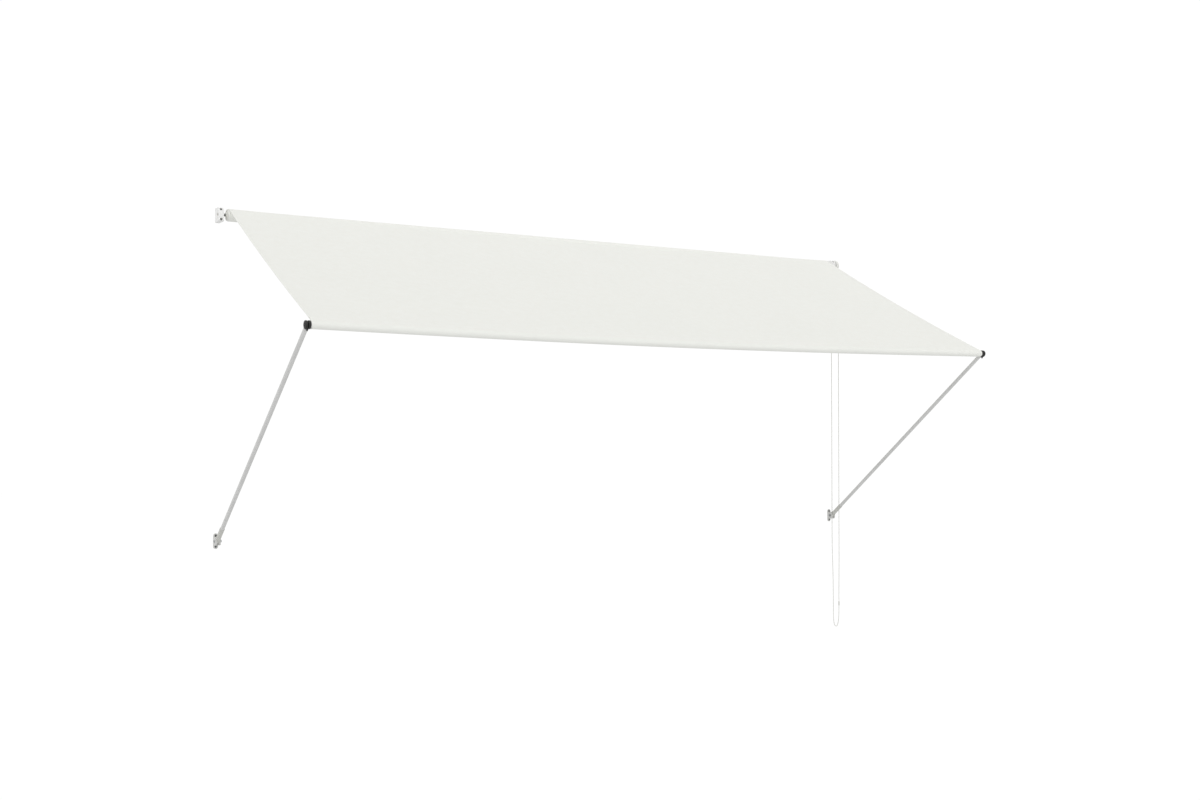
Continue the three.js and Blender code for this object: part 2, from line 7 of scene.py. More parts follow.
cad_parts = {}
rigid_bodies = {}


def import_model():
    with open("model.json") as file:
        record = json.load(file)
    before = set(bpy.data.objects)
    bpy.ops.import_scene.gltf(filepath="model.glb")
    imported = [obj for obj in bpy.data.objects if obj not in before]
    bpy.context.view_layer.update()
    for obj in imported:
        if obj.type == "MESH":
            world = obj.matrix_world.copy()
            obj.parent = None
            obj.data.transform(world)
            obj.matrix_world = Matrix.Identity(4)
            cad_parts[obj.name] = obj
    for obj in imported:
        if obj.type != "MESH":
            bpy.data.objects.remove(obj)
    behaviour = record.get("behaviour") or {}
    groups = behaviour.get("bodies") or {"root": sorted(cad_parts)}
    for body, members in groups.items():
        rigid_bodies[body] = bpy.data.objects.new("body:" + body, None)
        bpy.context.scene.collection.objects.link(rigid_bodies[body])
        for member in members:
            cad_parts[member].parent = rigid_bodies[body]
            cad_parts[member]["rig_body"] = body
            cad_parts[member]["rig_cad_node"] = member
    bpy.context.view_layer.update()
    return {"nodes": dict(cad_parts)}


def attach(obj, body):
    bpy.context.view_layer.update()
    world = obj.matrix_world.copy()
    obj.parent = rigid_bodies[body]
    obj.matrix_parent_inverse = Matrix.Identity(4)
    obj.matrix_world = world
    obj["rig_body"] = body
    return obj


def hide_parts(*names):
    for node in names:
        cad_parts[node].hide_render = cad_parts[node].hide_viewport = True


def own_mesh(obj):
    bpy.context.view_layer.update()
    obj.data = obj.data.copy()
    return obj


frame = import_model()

# A drop-arm awning in metres: +X along the wall, +Y into it, +Z up. The roller's axis is at Z = 0.

# ---- places and sizes ----

SPAN = 3.96  # left arm to right arm
ROLLER_Y = -0.044
PIVOT_Y = -0.028
PIVOT_Z = -1.605
ARM_TILT = math.radians(52.4)
ARM_LENGTH = math.hypot(PIVOT_Z, ROLLER_Y - PIVOT_Y)
ROLLER = Vector((0, ROLLER_Y, 0))
BAR = Vector((0, PIVOT_Y - ARM_LENGTH * math.sin(ARM_TILT), PIVOT_Z + ARM_LENGTH * math.cos(ARM_TILT)))
SLOPE = (BAR - ROLLER).normalized()  # down the cloth
RISE = Vector((0, SLOPE.z, -SLOPE.y))  # out of the cloth's upper face
DROP_LENGTH = (BAR - ROLLER).length

TUBE_ENDS = (0.034, 3.905)
TUBE_R = 0.0285
TUBE_BORE = 0.027
ROLLER_SAG = 0.014
BAR_ENDS = (0.0128, SPAN - 0.0128)
BAR_R = 0.016
BAR_WALL = 0.0012
BAR_SAG = 0.017
CLOTH_AT_ROLLER = (0.038, 3.900)  # its side edges
CLOTH_AT_BAR = (0.015, 3.945)
CLOTH_BELLY = 0.014
CLOTH = 0.0009
HEM = 0.022  # width of the cloth's side hems
ROLL_R = 0.0305
SHEET_R = ROLL_R + CLOTH / 2 + 0.0002  # middle of the sheet where it lies on the roll
POCKET_R = 0.0174
SEAM = 0.031  # seam of the bar's pocket, up the cloth from the bar's axis
TAIL = 0.047  # upper end of the pocket's neck

WHEEL_X = SPAN + 0.019
WHEEL_R = 0.033
CORD_R = 0.00225
RIGHT_BRACKET_X = SPAN - 0.004
AXLE_R = 0.006
AXLE_BORE = 0.0063
BOLT_BORE = 0.0043
JOINT_R = 0.0185  # both halves of the joint between arm and bar
CORE = 0.0006  # where a solid turned piece starts and ends, just off its axis
THROUGH = 0.02  # half the length of a drill, longer than what it cuts
FLOOR_Z = -2.7


def beam(u):
    """Share of the middle deflection along a beam held at both ends."""
    u = min(max(u, 0), 1)
    return 3.2 * (u - 2 * u**3 + u**4)


def roller_drop(x):
    return ROLLER_SAG * beam((x - TUBE_ENDS[0]) / (TUBE_ENDS[1] - TUBE_ENDS[0]))


def bar_drop(x):
    return BAR_SAG * beam((x - BAR_ENDS[0]) / (BAR_ENDS[1] - BAR_ENDS[0]))


def between(a, b, t):
    return a + (b - a) * t


# ---- camera, light, floor ----


def deselect():
    for thing in bpy.context.selected_objects:
        thing.select_set(False)


def add_camera():
    yaw, pitch, roll = (math.radians(angle) for angle in (31.759, 1.301, 0.024))
    ahead = Vector((math.sin(yaw) * math.cos(pitch), math.cos(yaw) * math.cos(pitch), math.sin(pitch)))
    level = Vector((math.cos(yaw), -math.sin(yaw), 0))
    over = level.cross(ahead)
    right = level * math.cos(roll) + over * math.sin(roll)
    top = over * math.cos(roll) - level * math.sin(roll)
    bpy.ops.object.camera_add()
    camera = bpy.context.object
    camera.matrix_world = Matrix((right, top, -ahead)).transposed().to_4x4()
    camera.location = (-1.92851, -6.70952, -1.06353)
    camera.data.sensor_width = 36
    camera.data.lens = 40.881
    camera.data.clip_end = 200
    bpy.context.scene.camera = camera


def add_lamp(name, heading, angle, strength):
    deselect()
    bpy.ops.object.light_add(type="SUN")
    lamp = bpy.context.object
    lamp.name = name
    lamp.rotation_euler = Vector(heading).to_track_quat("-Z", "Y").to_euler()
    lamp.data.angle = math.radians(angle)
    lamp.data.energy = strength


def split_by_camera(tree, light, seen, output):
    """The camera sees one shader, and everything else is lit by the other."""
    path, mix = tree.nodes.new("ShaderNodeLightPath"), tree.nodes.new("ShaderNodeMixShader")
    tree.links.new(path.outputs["Is Camera Ray"], mix.inputs[0])
    tree.links.new(light.outputs[0], mix.inputs[1])
    tree.links.new(seen.outputs[0], mix.inputs[2])
    tree.links.new(mix.outputs[0], output.inputs["Surface"])


def add_surroundings():
    world = bpy.data.worlds.new("white_studio")
    bpy.context.scene.world = world
    bpy.context.scene.view_settings.view_transform = "Standard"
    world.use_nodes = True
    nodes = world.node_tree.nodes
    nodes.clear()
    light, seen = nodes.new("ShaderNodeBackground"), nodes.new("ShaderNodeBackground")
    light.inputs["Color"].default_value = (1, 1, 1, 1)
    light.inputs["Strength"].default_value = 0.80
    seen.inputs["Color"].default_value = (1, 1, 1, 1)
    seen.inputs["Strength"].default_value = 1.02
    split_by_camera(world.node_tree, light, seen, nodes.new("ShaderNodeOutputWorld"))
    add_lamp("key_light", (0.62, 0.34, -0.70), 30, 0.52)
    add_lamp("front_fill", (0.30, 0.93, 0.12), 60, 0.95)


def add_floor():
    deselect()
    bpy.ops.mesh.primitive_grid_add(x_subdivisions=24, y_subdivisions=24, size=60, location=(2, 0, FLOOR_Z))
    floor = bpy.context.object
    floor.name = "studio_floor"
    bpy.ops.object.transform_apply(location=True, rotation=True, scale=True)
    floor.data.materials.append(studio_white())


def srgb(*levels):
    return tuple((v / 12.92 if v <= 0.04045 else ((v + 0.055) / 1.055) ** 2.4) for v in levels) + (1.0,)


def studio_white():
    """Seen, the floor is as white as the backdrop; the light that it throws up is dimmer."""
    material = bpy.data.materials.new("studio_white")
    material.use_nodes = True
    nodes = material.node_tree.nodes
    shader = nodes["Principled BSDF"]
    shader.inputs["Base Color"].default_value = (0.1, 0.1, 0.1, 1)
    shader.inputs["Roughness"].default_value = 0.95
    shader.inputs["Specular IOR Level"].default_value = 0.0
    shader.inputs["Emission Color"].default_value = (1, 1, 1, 1)
    shader.inputs["Emission Strength"].default_value = 0.93
    dull = nodes.new("ShaderNodeBsdfDiffuse")
    dull.inputs["Color"].default_value = (0.80, 0.80, 0.80, 1)
    split_by_camera(material.node_tree, dull, shader, nodes["Material Output"])
    return material


# ---- shared effects ----


class Tree:
    """A node tree being wired: each call adds one node and hands back its first output."""

    def __init__(self, tree):
        self.tree = tree

    def put(self, socket, value):
        if isinstance(value, bpy.types.NodeSocket):
            self.tree.links.new(value, socket)
        elif value is not None:
            socket.default_value = value

    def math(self, operation, *values):
        node = self.tree.nodes.new("ShaderNodeMath")
        node.operation = operation
        for socket, value in zip(node.inputs, values):
            self.put(socket, value)
        return node.outputs[0]

    def times(self, a, b):
        return self.math("MULTIPLY", a, b)

    def plus(self, a, b):
        return self.math("ADD", a, b)

    def split(self, vector):
        node = self.tree.nodes.new("ShaderNodeSeparateXYZ")
        self.put(node.inputs[0], vector)
        return node.outputs[0], node.outputs[1], node.outputs[2]

    def join(self, x, y, z=0.0):
        node = self.tree.nodes.new("ShaderNodeCombineXYZ")
        for socket, value in zip(node.inputs, (x, y, z)):
            self.put(socket, value)
        return node.outputs[0]

    def noise(self, vector, scale, detail=3.0, roughness=0.55):
        node = self.tree.nodes.new("ShaderNodeTexNoise")
        self.put(node.inputs["Vector"], vector)
        self.put(node.inputs["Scale"], scale)
        node.inputs["Detail"].default_value = detail
        node.inputs["Roughness"].default_value = roughness
        return node.outputs["Fac"]

    def span(self, value, low, high, to_low=0.0, to_high=1.0):
        node = self.tree.nodes.new("ShaderNodeMapRange")
        for socket, given in zip(node.inputs, (value, low, high, to_low, to_high)):
            self.put(socket, given)
        return node.outputs[0]

    def mix(self, share, a, b):
        node = self.tree.nodes.new("ShaderNodeMix")
        node.data_type = "RGBA"
        self.put(node.inputs[0], share)
        self.put(node.inputs[6], a)
        self.put(node.inputs[7], b)
        return node.outputs[2]

    def bump(self, height, strength, distance, normal=None):
        node = self.tree.nodes.new("ShaderNodeBump")
        self.put(node.inputs["Height"], height)
        node.inputs["Strength"].default_value = strength
        node.inputs["Distance"].default_value = distance
        self.put(node.inputs["Normal"], normal)
        return node.outputs[0]

    def use(self, group, **values):
        node = self.tree.nodes.new("ShaderNodeGroup")
        node.node_tree = group
        for name, value in values.items():
            self.put(node.inputs[name.replace("_", " ").title()], value)
        return node.outputs


def new_group(name, inputs, outputs):
    group = bpy.data.node_groups.new(name, "ShaderNodeTree")
    for title, value in inputs:
        kind = "NodeSocketVector" if value is None else "NodeSocketFloat"
        socket = group.interface.new_socket(name=title, in_out="INPUT", socket_type=kind)
        if value is not None:
            socket.default_value = value
    for title in outputs:
        group.interface.new_socket(name=title, in_out="OUTPUT", socket_type="NodeSocketFloat")
    given, out = group.nodes.new("NodeGroupInput").outputs, group.nodes.new("NodeGroupOutput").inputs
    return group, Tree(group), given, out


def make_plain_weave():
    """Threads over and under each other; the vector is in metres along warp and weft."""
    group, t, given, out = new_group("plain_weave", [("Vector", None), ("Pitch", 0.0006)], ["Height", "Slub"])
    u, v, _ = t.split(given["Vector"])
    a = t.times(t.math("DIVIDE", u, given["Pitch"]), math.pi)
    b = t.times(t.math("DIVIDE", v, given["Pitch"]), math.pi)
    sine_a, sine_b = t.math("SINE", a), t.math("SINE", b)
    over = t.math("GREATER_THAN", t.times(sine_a, sine_b), 0.0)
    warp, weft = t.math("ABSOLUTE", sine_a), t.math("ABSOLUTE", sine_b)
    under = t.math("SUBTRACT", 1.0, over)
    t.put(out["Height"], t.plus(t.times(warp, over), t.times(weft, under)))
    along = t.noise(t.join(t.times(u, 900.0), t.times(v, 14.0)), 1.0)
    across = t.noise(t.join(t.times(u, 14.0), t.times(v, 900.0)), 1.0)
    t.put(out["Slub"], t.times(t.plus(along, across), 0.5))
    return group


def make_stitch_row():
    """One row of stitches: a dashed thread at Row from an edge, in a narrow furrow."""
    inputs = [("Distance", 0.0), ("Along", 0.0), ("Row", 0.018), ("Length", 0.0036)]
    group, t, given, out = new_group("stitch_row", inputs, ["Thread", "Height"])
    off = t.math("ABSOLUTE", t.math("SUBTRACT", given["Distance"], given["Row"]))
    near = t.span(off, 0.0007, 0.0003)
    beat = t.math("FRACT", t.math("DIVIDE", given["Along"], given["Length"]))
    dash = t.times(t.span(beat, 0.10, 0.2), t.span(beat, 0.82, 0.72))
    thread = t.times(near, dash)
    furrow = t.span(off, 0.0035, 0.0)
    t.put(out["Thread"], thread)
    t.put(out["Height"], t.math("SUBTRACT", t.times(thread, 0.6), furrow))
    return group


def make_coat_grain():
    """Orange peel and slow tone drift of a powder coat."""
    group, t, given, out = new_group("coat_grain", [("Vector", None), ("Grain", 700.0)], ["Height", "Tone"])
    fine = t.noise(given["Vector"], given["Grain"], 2.0, 0.5)
    t.put(out["Height"], fine)
    t.put(out["Tone"], t.noise(given["Vector"], 9.0, 4.0, 0.6))
    return group


def make_edge_wear():
    """Rubbed edges, broken up so that no edge is worn evenly."""
    group, t, given, out = new_group("edge_wear", [("Vector", None), ("Amount", 0.5)], ["Mask"])
    edge = t.span(group.nodes.new("ShaderNodeNewGeometry").outputs["Pointiness"], 0.52, 0.6)
    patch = t.span(t.noise(given["Vector"], 120.0, 5.0, 0.7), 0.4, 0.65)
    t.put(out["Mask"], t.times(t.times(edge, patch), given["Amount"]))
    return group


def make_settled_dust():
    """Fine dust that lies on what faces up."""
    group, t, given, out = new_group("settled_dust", [("Vector", None), ("Amount", 0.3)], ["Mask"])
    _, _, up = t.split(group.nodes.new("ShaderNodeNewGeometry").outputs["Normal"])
    lying = t.span(up, 0.1, 0.9)
    cloud = t.span(t.noise(given["Vector"], 26.0, 6.0, 0.7), 0.35, 0.75)
    t.put(out["Mask"], t.times(t.times(lying, cloud), given["Amount"]))
    return group


def make_braid():
    """Sixteen-strand braid on a cord; the vector is (metres along, turns round)."""
    group, t, given, out = new_group("braid", [("Vector", None), ("Lay", 0.006)], ["Height", "Strand"])
    along, turn, _ = t.split(given["Vector"])
    climb = t.math("DIVIDE", along, given["Lay"])
    around = t.times(turn, 4.0)
    lays = [t.times(t.math(way, around, climb), 2 * math.pi) for way in ("ADD", "SUBTRACT")]
    one, two = (t.math("ABSOLUTE", t.math("SINE", lay)) for lay in lays)
    t.put(out["Height"], t.math("MAXIMUM", one, two))
    t.put(out["Strand"], t.noise(t.join(t.times(along, 60.0), turn), 3.0))
    return group


PLAIN_WEAVE = make_plain_weave()
STITCH_ROW = make_stitch_row()
COAT_GRAIN = make_coat_grain()
EDGE_WEAR = make_edge_wear()
SETTLED_DUST = make_settled_dust()
BRAID = make_braid()


# ---- materials ----


def new_material(name):
    material = bpy.data.materials.new(name)
    material.use_nodes = True
    tree = Tree(material.node_tree)
    return material, tree, material.node_tree.nodes["Principled BSDF"].inputs


def wire(t, shader, colour, roughness, normal):
    t.put(shader["Base Color"], colour)
    t.put(shader["Roughness"], roughness)
    t.put(shader["Normal"], normal)


def coordinates(t):
    return t.tree.nodes.new("ShaderNodeTexCoord").outputs["Object"]


def surface_map(t):
    node = t.tree.nodes.new("ShaderNodeUVMap")
    node.uv_map = "cloth"
    return node.outputs[0]


def attribute(t, name):
    node = t.tree.nodes.new("ShaderNodeAttribute")
    node.attribute_name = name
    return node.outputs["Fac"]


def canvas(name, rows=()):
    """Off-white awning canvas. Each row is (attribute holding the distance, axis it runs along, places)."""
    material, t, shader = new_material(name)
    metres = surface_map(t)
    weave = t.use(PLAIN_WEAVE, vector=metres, pitch=0.00062)
    cloud = t.noise(metres, 2.2, 5.0, 0.6)
    dust = t.use(SETTLED_DUST, vector=metres, amount=0.22)["Mask"]
    tone = t.plus(t.times(weave["Slub"], 0.6), t.times(cloud, 0.4))
    colour = t.mix(t.span(tone, 0.3, 0.7), srgb(0.926, 0.930, 0.910), srgb(0.940, 0.943, 0.924))
    # Painted shade: the hollows between the threads are darkened.
    colour = t.mix(t.span(weave["Height"], 0.0, 0.55, 0.10, 0.0), colour, srgb(0.80, 0.80, 0.77))
    colour = t.mix(dust, colour, srgb(0.88, 0.87, 0.83))
    normal = t.bump(weave["Height"], 0.35, 0.00015)
    normal = t.bump(t.noise(metres, 38.0, 3.0, 0.5), 0.12, 0.0008, normal)
    along = dict(zip("uv", t.split(metres)[:2]))
    for held, axis, places in rows:
        for place in places:
            row = t.use(STITCH_ROW, distance=attribute(t, held), along=along[axis], row=place)
            colour = t.mix(t.times(row["Thread"], 0.7), colour, srgb(0.97, 0.97, 0.96))
            normal = t.bump(row["Height"], 0.6, 0.0006, normal)
    wire(t, shader, colour, t.span(weave["Slub"], 0.3, 0.7, 0.84, 0.94), normal)
    shader["Specular IOR Level"].default_value = 0.25
    shader["Sheen Weight"].default_value = 0.12
    shader["Sheen Roughness"].default_value = 0.5
    return material


def hard_surface(t, grain, wear, dust):
    """Grain, rubbed edges and dust of a hard piece."""
    place = coordinates(t)
    worn = t.use(EDGE_WEAR, vector=place, amount=wear)["Mask"]
    lying = t.use(SETTLED_DUST, vector=place, amount=dust)["Mask"]
    return t.use(COAT_GRAIN, vector=place, grain=grain), worn, lying


def powder_coat(name, *shades):
    """A coated metal; the shades are the coat's light and dark tones and its rubbed edges."""
    material, t, shader = new_material(name)
    light, dark, rubbed = (srgb(*shade) for shade in shades)
    grain, worn, dust = hard_surface(t, grain=650.0, wear=0.35, dust=0.25)
    colour = t.mix(t.span(grain["Tone"], 0.35, 0.65), dark, light)
    colour = t.mix(dust, colour, srgb(0.80, 0.79, 0.75))
    colour = t.mix(worn, colour, rubbed)
    rough = t.plus(t.span(grain["Tone"], 0.3, 0.7, 0.36, 0.5), t.times(dust, 0.35))
    wire(t, shader, colour, rough, t.bump(grain["Height"], 0.18, 0.0003))
    shader["Coat Weight"].default_value = 0.15
    shader["Coat Roughness"].default_value = 0.35
    return material


def moulded(name, *shades, roughness, grain=1400.0):
    """A moulded or blackened piece; the shades are its light and dark tones and its rubbed edges."""
    material, t, shader = new_material(name)
    light, dark, rubbed = (srgb(*shade) for shade in shades)
    fine, worn, dust = hard_surface(t, grain=grain, wear=0.4, dust=0.3)
    colour = t.mix(t.span(fine["Tone"], 0.35, 0.65), dark, light)
    colour = t.mix(worn, colour, rubbed)
    colour = t.mix(t.times(dust, 0.5), colour, srgb(0.62, 0.6, 0.56))
    rough = t.span(fine["Tone"], 0.3, 0.7, roughness - 0.06, roughness + 0.08)
    wire(t, shader, colour, rough, t.bump(fine["Height"], 0.25, 0.00015))
    shader["Specular IOR Level"].default_value = 0.45
    return material


def zinc_plate(name, *shades):
    """Zinc plating; the shades are its dark and light tones."""
    material, t, shader = new_material(name)
    dark, light = (srgb(*shade) for shade in shades)
    place = coordinates(t)
    spangle = t.tree.nodes.new("ShaderNodeTexVoronoi")
    t.put(spangle.inputs["Vector"], place)
    spangle.inputs["Scale"].default_value = 420
    worn = t.use(EDGE_WEAR, vector=place, amount=0.7)["Mask"]
    flakes = t.times(spangle.outputs["Distance"], 0.5)
    tone = t.plus(flakes, t.noise(place, 60.0, 5.0, 0.65))
    colour = t.mix(t.span(tone, 0.5, 1.0), dark, light)
    colour = t.mix(worn, colour, srgb(0.9, 0.9, 0.9))
    wire(t, shader, colour, t.span(tone, 0.4, 1.0, 0.26, 0.44), t.bump(t.noise(place, 900.0), 0.12, 0.0001))
    shader["Metallic"].default_value = 1.0
    return material


def braided_cord():
    material, t, shader = new_material("braided_cord")
    metres = surface_map(t)
    braid = t.use(BRAID, vector=metres, lay=0.0065)
    colour = t.mix(t.span(braid["Strand"], 0.35, 0.65), srgb(0.90, 0.90, 0.88), srgb(0.945, 0.945, 0.93))
    # Painted shade: the grooves between the strands are darkened.
    colour = t.mix(t.span(braid["Height"], 0.95, 0.72, 0.0, 0.35), colour, srgb(0.72, 0.72, 0.69))
    rough = t.span(braid["Strand"], 0.3, 0.7, 0.72, 0.86)
    wire(t, shader, colour, rough, t.bump(braid["Height"], 0.7, 0.0004))
    shader["Sheen Weight"].default_value = 0.1
    return material


CANVAS_PLAIN = canvas("canvas_plain")
CANVAS_HEMMED = canvas("canvas_hemmed", [("from_side", "v", (0.003, 0.019))])
CANVAS_POCKET = canvas("canvas_pocket", [("from_seam", "u", (0.0, 0.006))])
GREY_COAT = powder_coat("light_grey_coat", (0.83, 0.83, 0.825), (0.805, 0.805, 0.80), (0.88, 0.88, 0.87))
# Painted shade: a darker copy of the white coat for the fork brackets, standing in for the shade on their
# faces.
PAINTED_SHADE_COAT = powder_coat("white_coat_painted_shade", (0.815, 0.815, 0.805), (0.79, 0.79, 0.78), (0.87, 0.87, 0.86))
WHITE_COAT = powder_coat("white_coat", (0.94, 0.94, 0.935), (0.92, 0.92, 0.915), (0.96, 0.96, 0.955))
WHITE_NYLON = moulded(
    "white_nylon", (0.89, 0.89, 0.87), (0.87, 0.87, 0.85), (0.93, 0.93, 0.91), roughness=0.48,
)
FOOT_PLASTIC = moulded(
    "foot_plastic", (0.785, 0.785, 0.765), (0.765, 0.765, 0.745), (0.83, 0.83, 0.81), roughness=0.5,
)
# Painted light: a brighter copy of the white nylon for the cord wheel, so that its shaded faces look as light
# as the backdrop.
PAINTED_LIGHT_NYLON = moulded(
    "white_nylon_painted_light", (0.955, 0.955, 0.94), (0.935, 0.935, 0.92), (0.97, 0.97, 0.96), roughness=0.42,
)
BLACK_NYLON = moulded(
    "black_nylon", (0.115, 0.115, 0.105), (0.095, 0.095, 0.088), (0.3, 0.3, 0.29), roughness=0.42,
)
BUSH_NYLON = moulded(
    "bush_nylon", (0.84, 0.83, 0.79), (0.82, 0.81, 0.765), (0.88, 0.87, 0.84), roughness=0.4,
)
BLACK_STEEL = moulded(
    "black_steel", (0.15, 0.15, 0.148), (0.12, 0.12, 0.118), (0.42, 0.42, 0.41), roughness=0.36, grain=900.0,
)
ZINC = zinc_plate("zinc_plate", (0.60, 0.61, 0.62), (0.71, 0.72, 0.72))
# Painted shade: a darker copy of the zinc plate for the wall screws, standing in for the shade in their
# holes.
PAINTED_SHADE_ZINC = zinc_plate("zinc_painted_shade", (0.36, 0.37, 0.38), (0.47, 0.48, 0.48))
CORD = braided_cord()


# ---- modelling ----


def work_on(piece):
    deselect()
    piece.select_set(True)
    bpy.context.view_layer.objects.active = piece


def named(piece, name):
    piece.name = name
    piece.data.name = name
    return piece


def open_mesh():
    """Goes into the active piece's mesh, with all of it selected."""
    bpy.ops.object.mode_set(mode="EDIT")
    bpy.ops.mesh.select_all(action="SELECT")


def close_mesh(face_out=True):
    """Leaves the mesh, with its faces turned outwards unless it keeps them as they are."""
    if face_out:
        bpy.ops.mesh.select_all(action="SELECT")
        bpy.ops.mesh.normals_make_consistent(inside=False)
    bpy.ops.object.mode_set(mode="OBJECT")


def apply_place():
    """Leaves the selected piece's place in its mesh."""
    bpy.ops.object.transform_apply(location=True, rotation=True, scale=True)


def apply_modifier(piece, kind, **settings):
    work_on(piece)
    bpy.ops.object.modifier_add(type=kind)
    modifier = piece.modifiers[-1]
    for key, value in settings.items():
        setattr(modifier, key, value)
    bpy.ops.object.modifier_apply(modifier=modifier.name)


def round_edges(piece, width, segments=3, angle=35):
    apply_modifier(
        piece, "BEVEL", width=width, segments=segments, limit_method="ANGLE", angle_limit=math.radians(angle),
        use_clamp_overlap=True, harden_normals=False,
    )


def smooth(piece, angle=38):
    work_on(piece)
    bpy.ops.object.shade_smooth_by_angle(angle=math.radians(angle))


def settle(piece, place=(0, 0, 0), turn=(0, 0, 0)):
    """Puts a piece made at the origin in its place, and leaves the place in its mesh."""
    work_on(piece)
    piece.rotation_euler = turn
    piece.location = place
    apply_place()
    return piece


def turned(name, stations, sides=48, bored=False):
    """A piece turned about X: stations are (x, radius) along its outline.

    A bored outline closes on itself. Any other starts and ends near the axis, where it is capped.
    """
    deselect()
    x, radius = stations[0]
    bpy.ops.mesh.primitive_circle_add(
        vertices=sides, radius=radius, fill_type="NOTHING" if bored else "TRIFAN",
        location=(x, 0, 0), rotation=(0, math.pi / 2, 0),
    )
    piece = named(bpy.context.object, name)
    apply_place()
    open_mesh()
    for next_x, next_radius in stations[1:]:
        share = next_radius / radius
        bpy.ops.mesh.extrude_region_move()
        bpy.ops.transform.translate(value=(next_x - x, 0, 0))
        bpy.ops.transform.resize(value=(1, share, share), center_override=(0, 0, 0))
        x, radius = next_x, next_radius
    if bored:
        bpy.ops.mesh.select_all(action="SELECT")
        bpy.ops.mesh.remove_doubles(threshold=1e-6)
    close_mesh()
    return piece


def block(name, low, high):
    deselect()
    middle = [(a + b) / 2 for a, b in zip(low, high)]
    bpy.ops.mesh.primitive_cube_add(size=1, location=middle, scale=[b - a for a, b in zip(low, high)])
    piece = named(bpy.context.object, name)
    apply_place()
    return piece


def remove(piece):
    work_on(piece)
    bpy.ops.object.delete()


def cut_with(piece, tool):
    apply_modifier(piece, "BOOLEAN", operation="DIFFERENCE", object=tool, solver="EXACT")
    remove(tool)


def rod(name, radius, low, high, sides=48):
    """A round bar along X."""
    return turned(name, [(low, radius), (high, radius)], sides)


def fused(name, piece, *others):
    for other in others:
        apply_modifier(piece, "BOOLEAN", operation="UNION", object=other, solver="EXACT")
        remove(other)
    return named(piece, name)


def twin(piece, name, place=(0, 0, 0)):
    """Another of the same, moved on."""
    copy = piece.copy()
    copy.data = piece.data.copy()
    bpy.context.scene.collection.objects.link(copy)
    return settle(named(copy, name), place)


def rounded_from(node, name, width, segments=3):
    """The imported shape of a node, welded and with its edges rounded."""
    deselect()
    piece = frame["nodes"][node].copy()
    piece.data = piece.data.copy()
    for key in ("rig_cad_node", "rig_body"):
        del piece[key]
    piece.parent = None
    bpy.context.scene.collection.objects.link(piece)
    piece.data.materials.clear()
    work_on(named(piece, name))
    open_mesh()
    bpy.ops.mesh.remove_doubles(threshold=1e-6)
    bpy.ops.mesh.dissolve_limited(angle_limit=math.radians(1))
    close_mesh(face_out=False)
    round_edges(piece, width, segments, 40)
    return piece


def fit(piece, body, material, slot, *nodes):
    piece.data.materials.clear()
    piece.data.materials.append(material)
    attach(piece, body)
    if nodes:
        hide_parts(*nodes)
    return piece


# ---- pull cord ----

# Off the roller's axis towards the room, and down from it, in millimetres.
FRONT_RUN = [
    (33, 60), (33, 300), (33, 700), (33, 1200), (33, 1700), (32.5, 1900), (31, 2020), (30, 2100),
    (30, 2150), (30, 2180), (29.4, 2220), (27, 2256), (21.5, 2288), (12.5, 2308),
]
BACK_RUN = [
    (1.5, 2315), (-9.5, 2310), (-18.5, 2291), (-22.4, 2260), (-23.2, 2220), (-23.6, 2140), (-24.4, 2050),
    (-27, 1940), (-32, 1820), (-33, 1700), (-33, 1200), (-33, 700), (-33, 300), (-33, 60),
]


def cord_route():
    """From the top of the wheel, down in front, up behind and back; the two ends nearly touch."""
    quarter = [math.radians(15 * i) for i in range(7)]
    over = [(1000 * WHEEL_R * math.sin(a), -1000 * WHEEL_R * math.cos(a)) for a in quarter]
    back = [(-1000 * WHEEL_R * math.cos(a), -1000 * WHEEL_R * math.sin(a)) for a in quarter]
    half_gap = 0.02
    over[0], back[-1] = (half_gap, over[0][1]), (-half_gap, back[-1][1])
    stations = [*over, *FRONT_RUN, *BACK_RUN, *back]
    return [Vector((WHEEL_X, ROLLER_Y - off / 1000, -down / 1000)) for off, down in stations]


def smooth_route(points, steps):
    """A centripetal spline through the points, with equal steps between each two."""
    line = []
    ends = [2 * points[0] - points[1], *points, 2 * points[-1] - points[-2]]
    for a, b, c, d in zip(ends, ends[1:], ends[2:], ends[3:]):
        k0 = 0.0
        k1 = k0 + (b - a).length ** 0.5
        k2 = k1 + (c - b).length ** 0.5
        k3 = k2 + (d - c).length ** 0.5
        for i in range(steps):
            k = between(k1, k2, i / steps)
            ab = a * ((k1 - k) / (k1 - k0)) + b * ((k - k0) / (k1 - k0))
            bc = b * ((k2 - k) / (k2 - k1)) + c * ((k - k1) / (k2 - k1))
            cd = c * ((k3 - k) / (k3 - k2)) + d * ((k - k2) / (k3 - k2))
            abc = ab * ((k2 - k) / (k2 - k0)) + bc * ((k - k0) / (k2 - k0))
            bcd = bc * ((k3 - k) / (k3 - k1)) + cd * ((k - k1) / (k3 - k1))
            line.append(abc * ((k2 - k) / (k2 - k1)) + bcd * ((k - k1) / (k2 - k1)))
    return [*line, points[-1]]


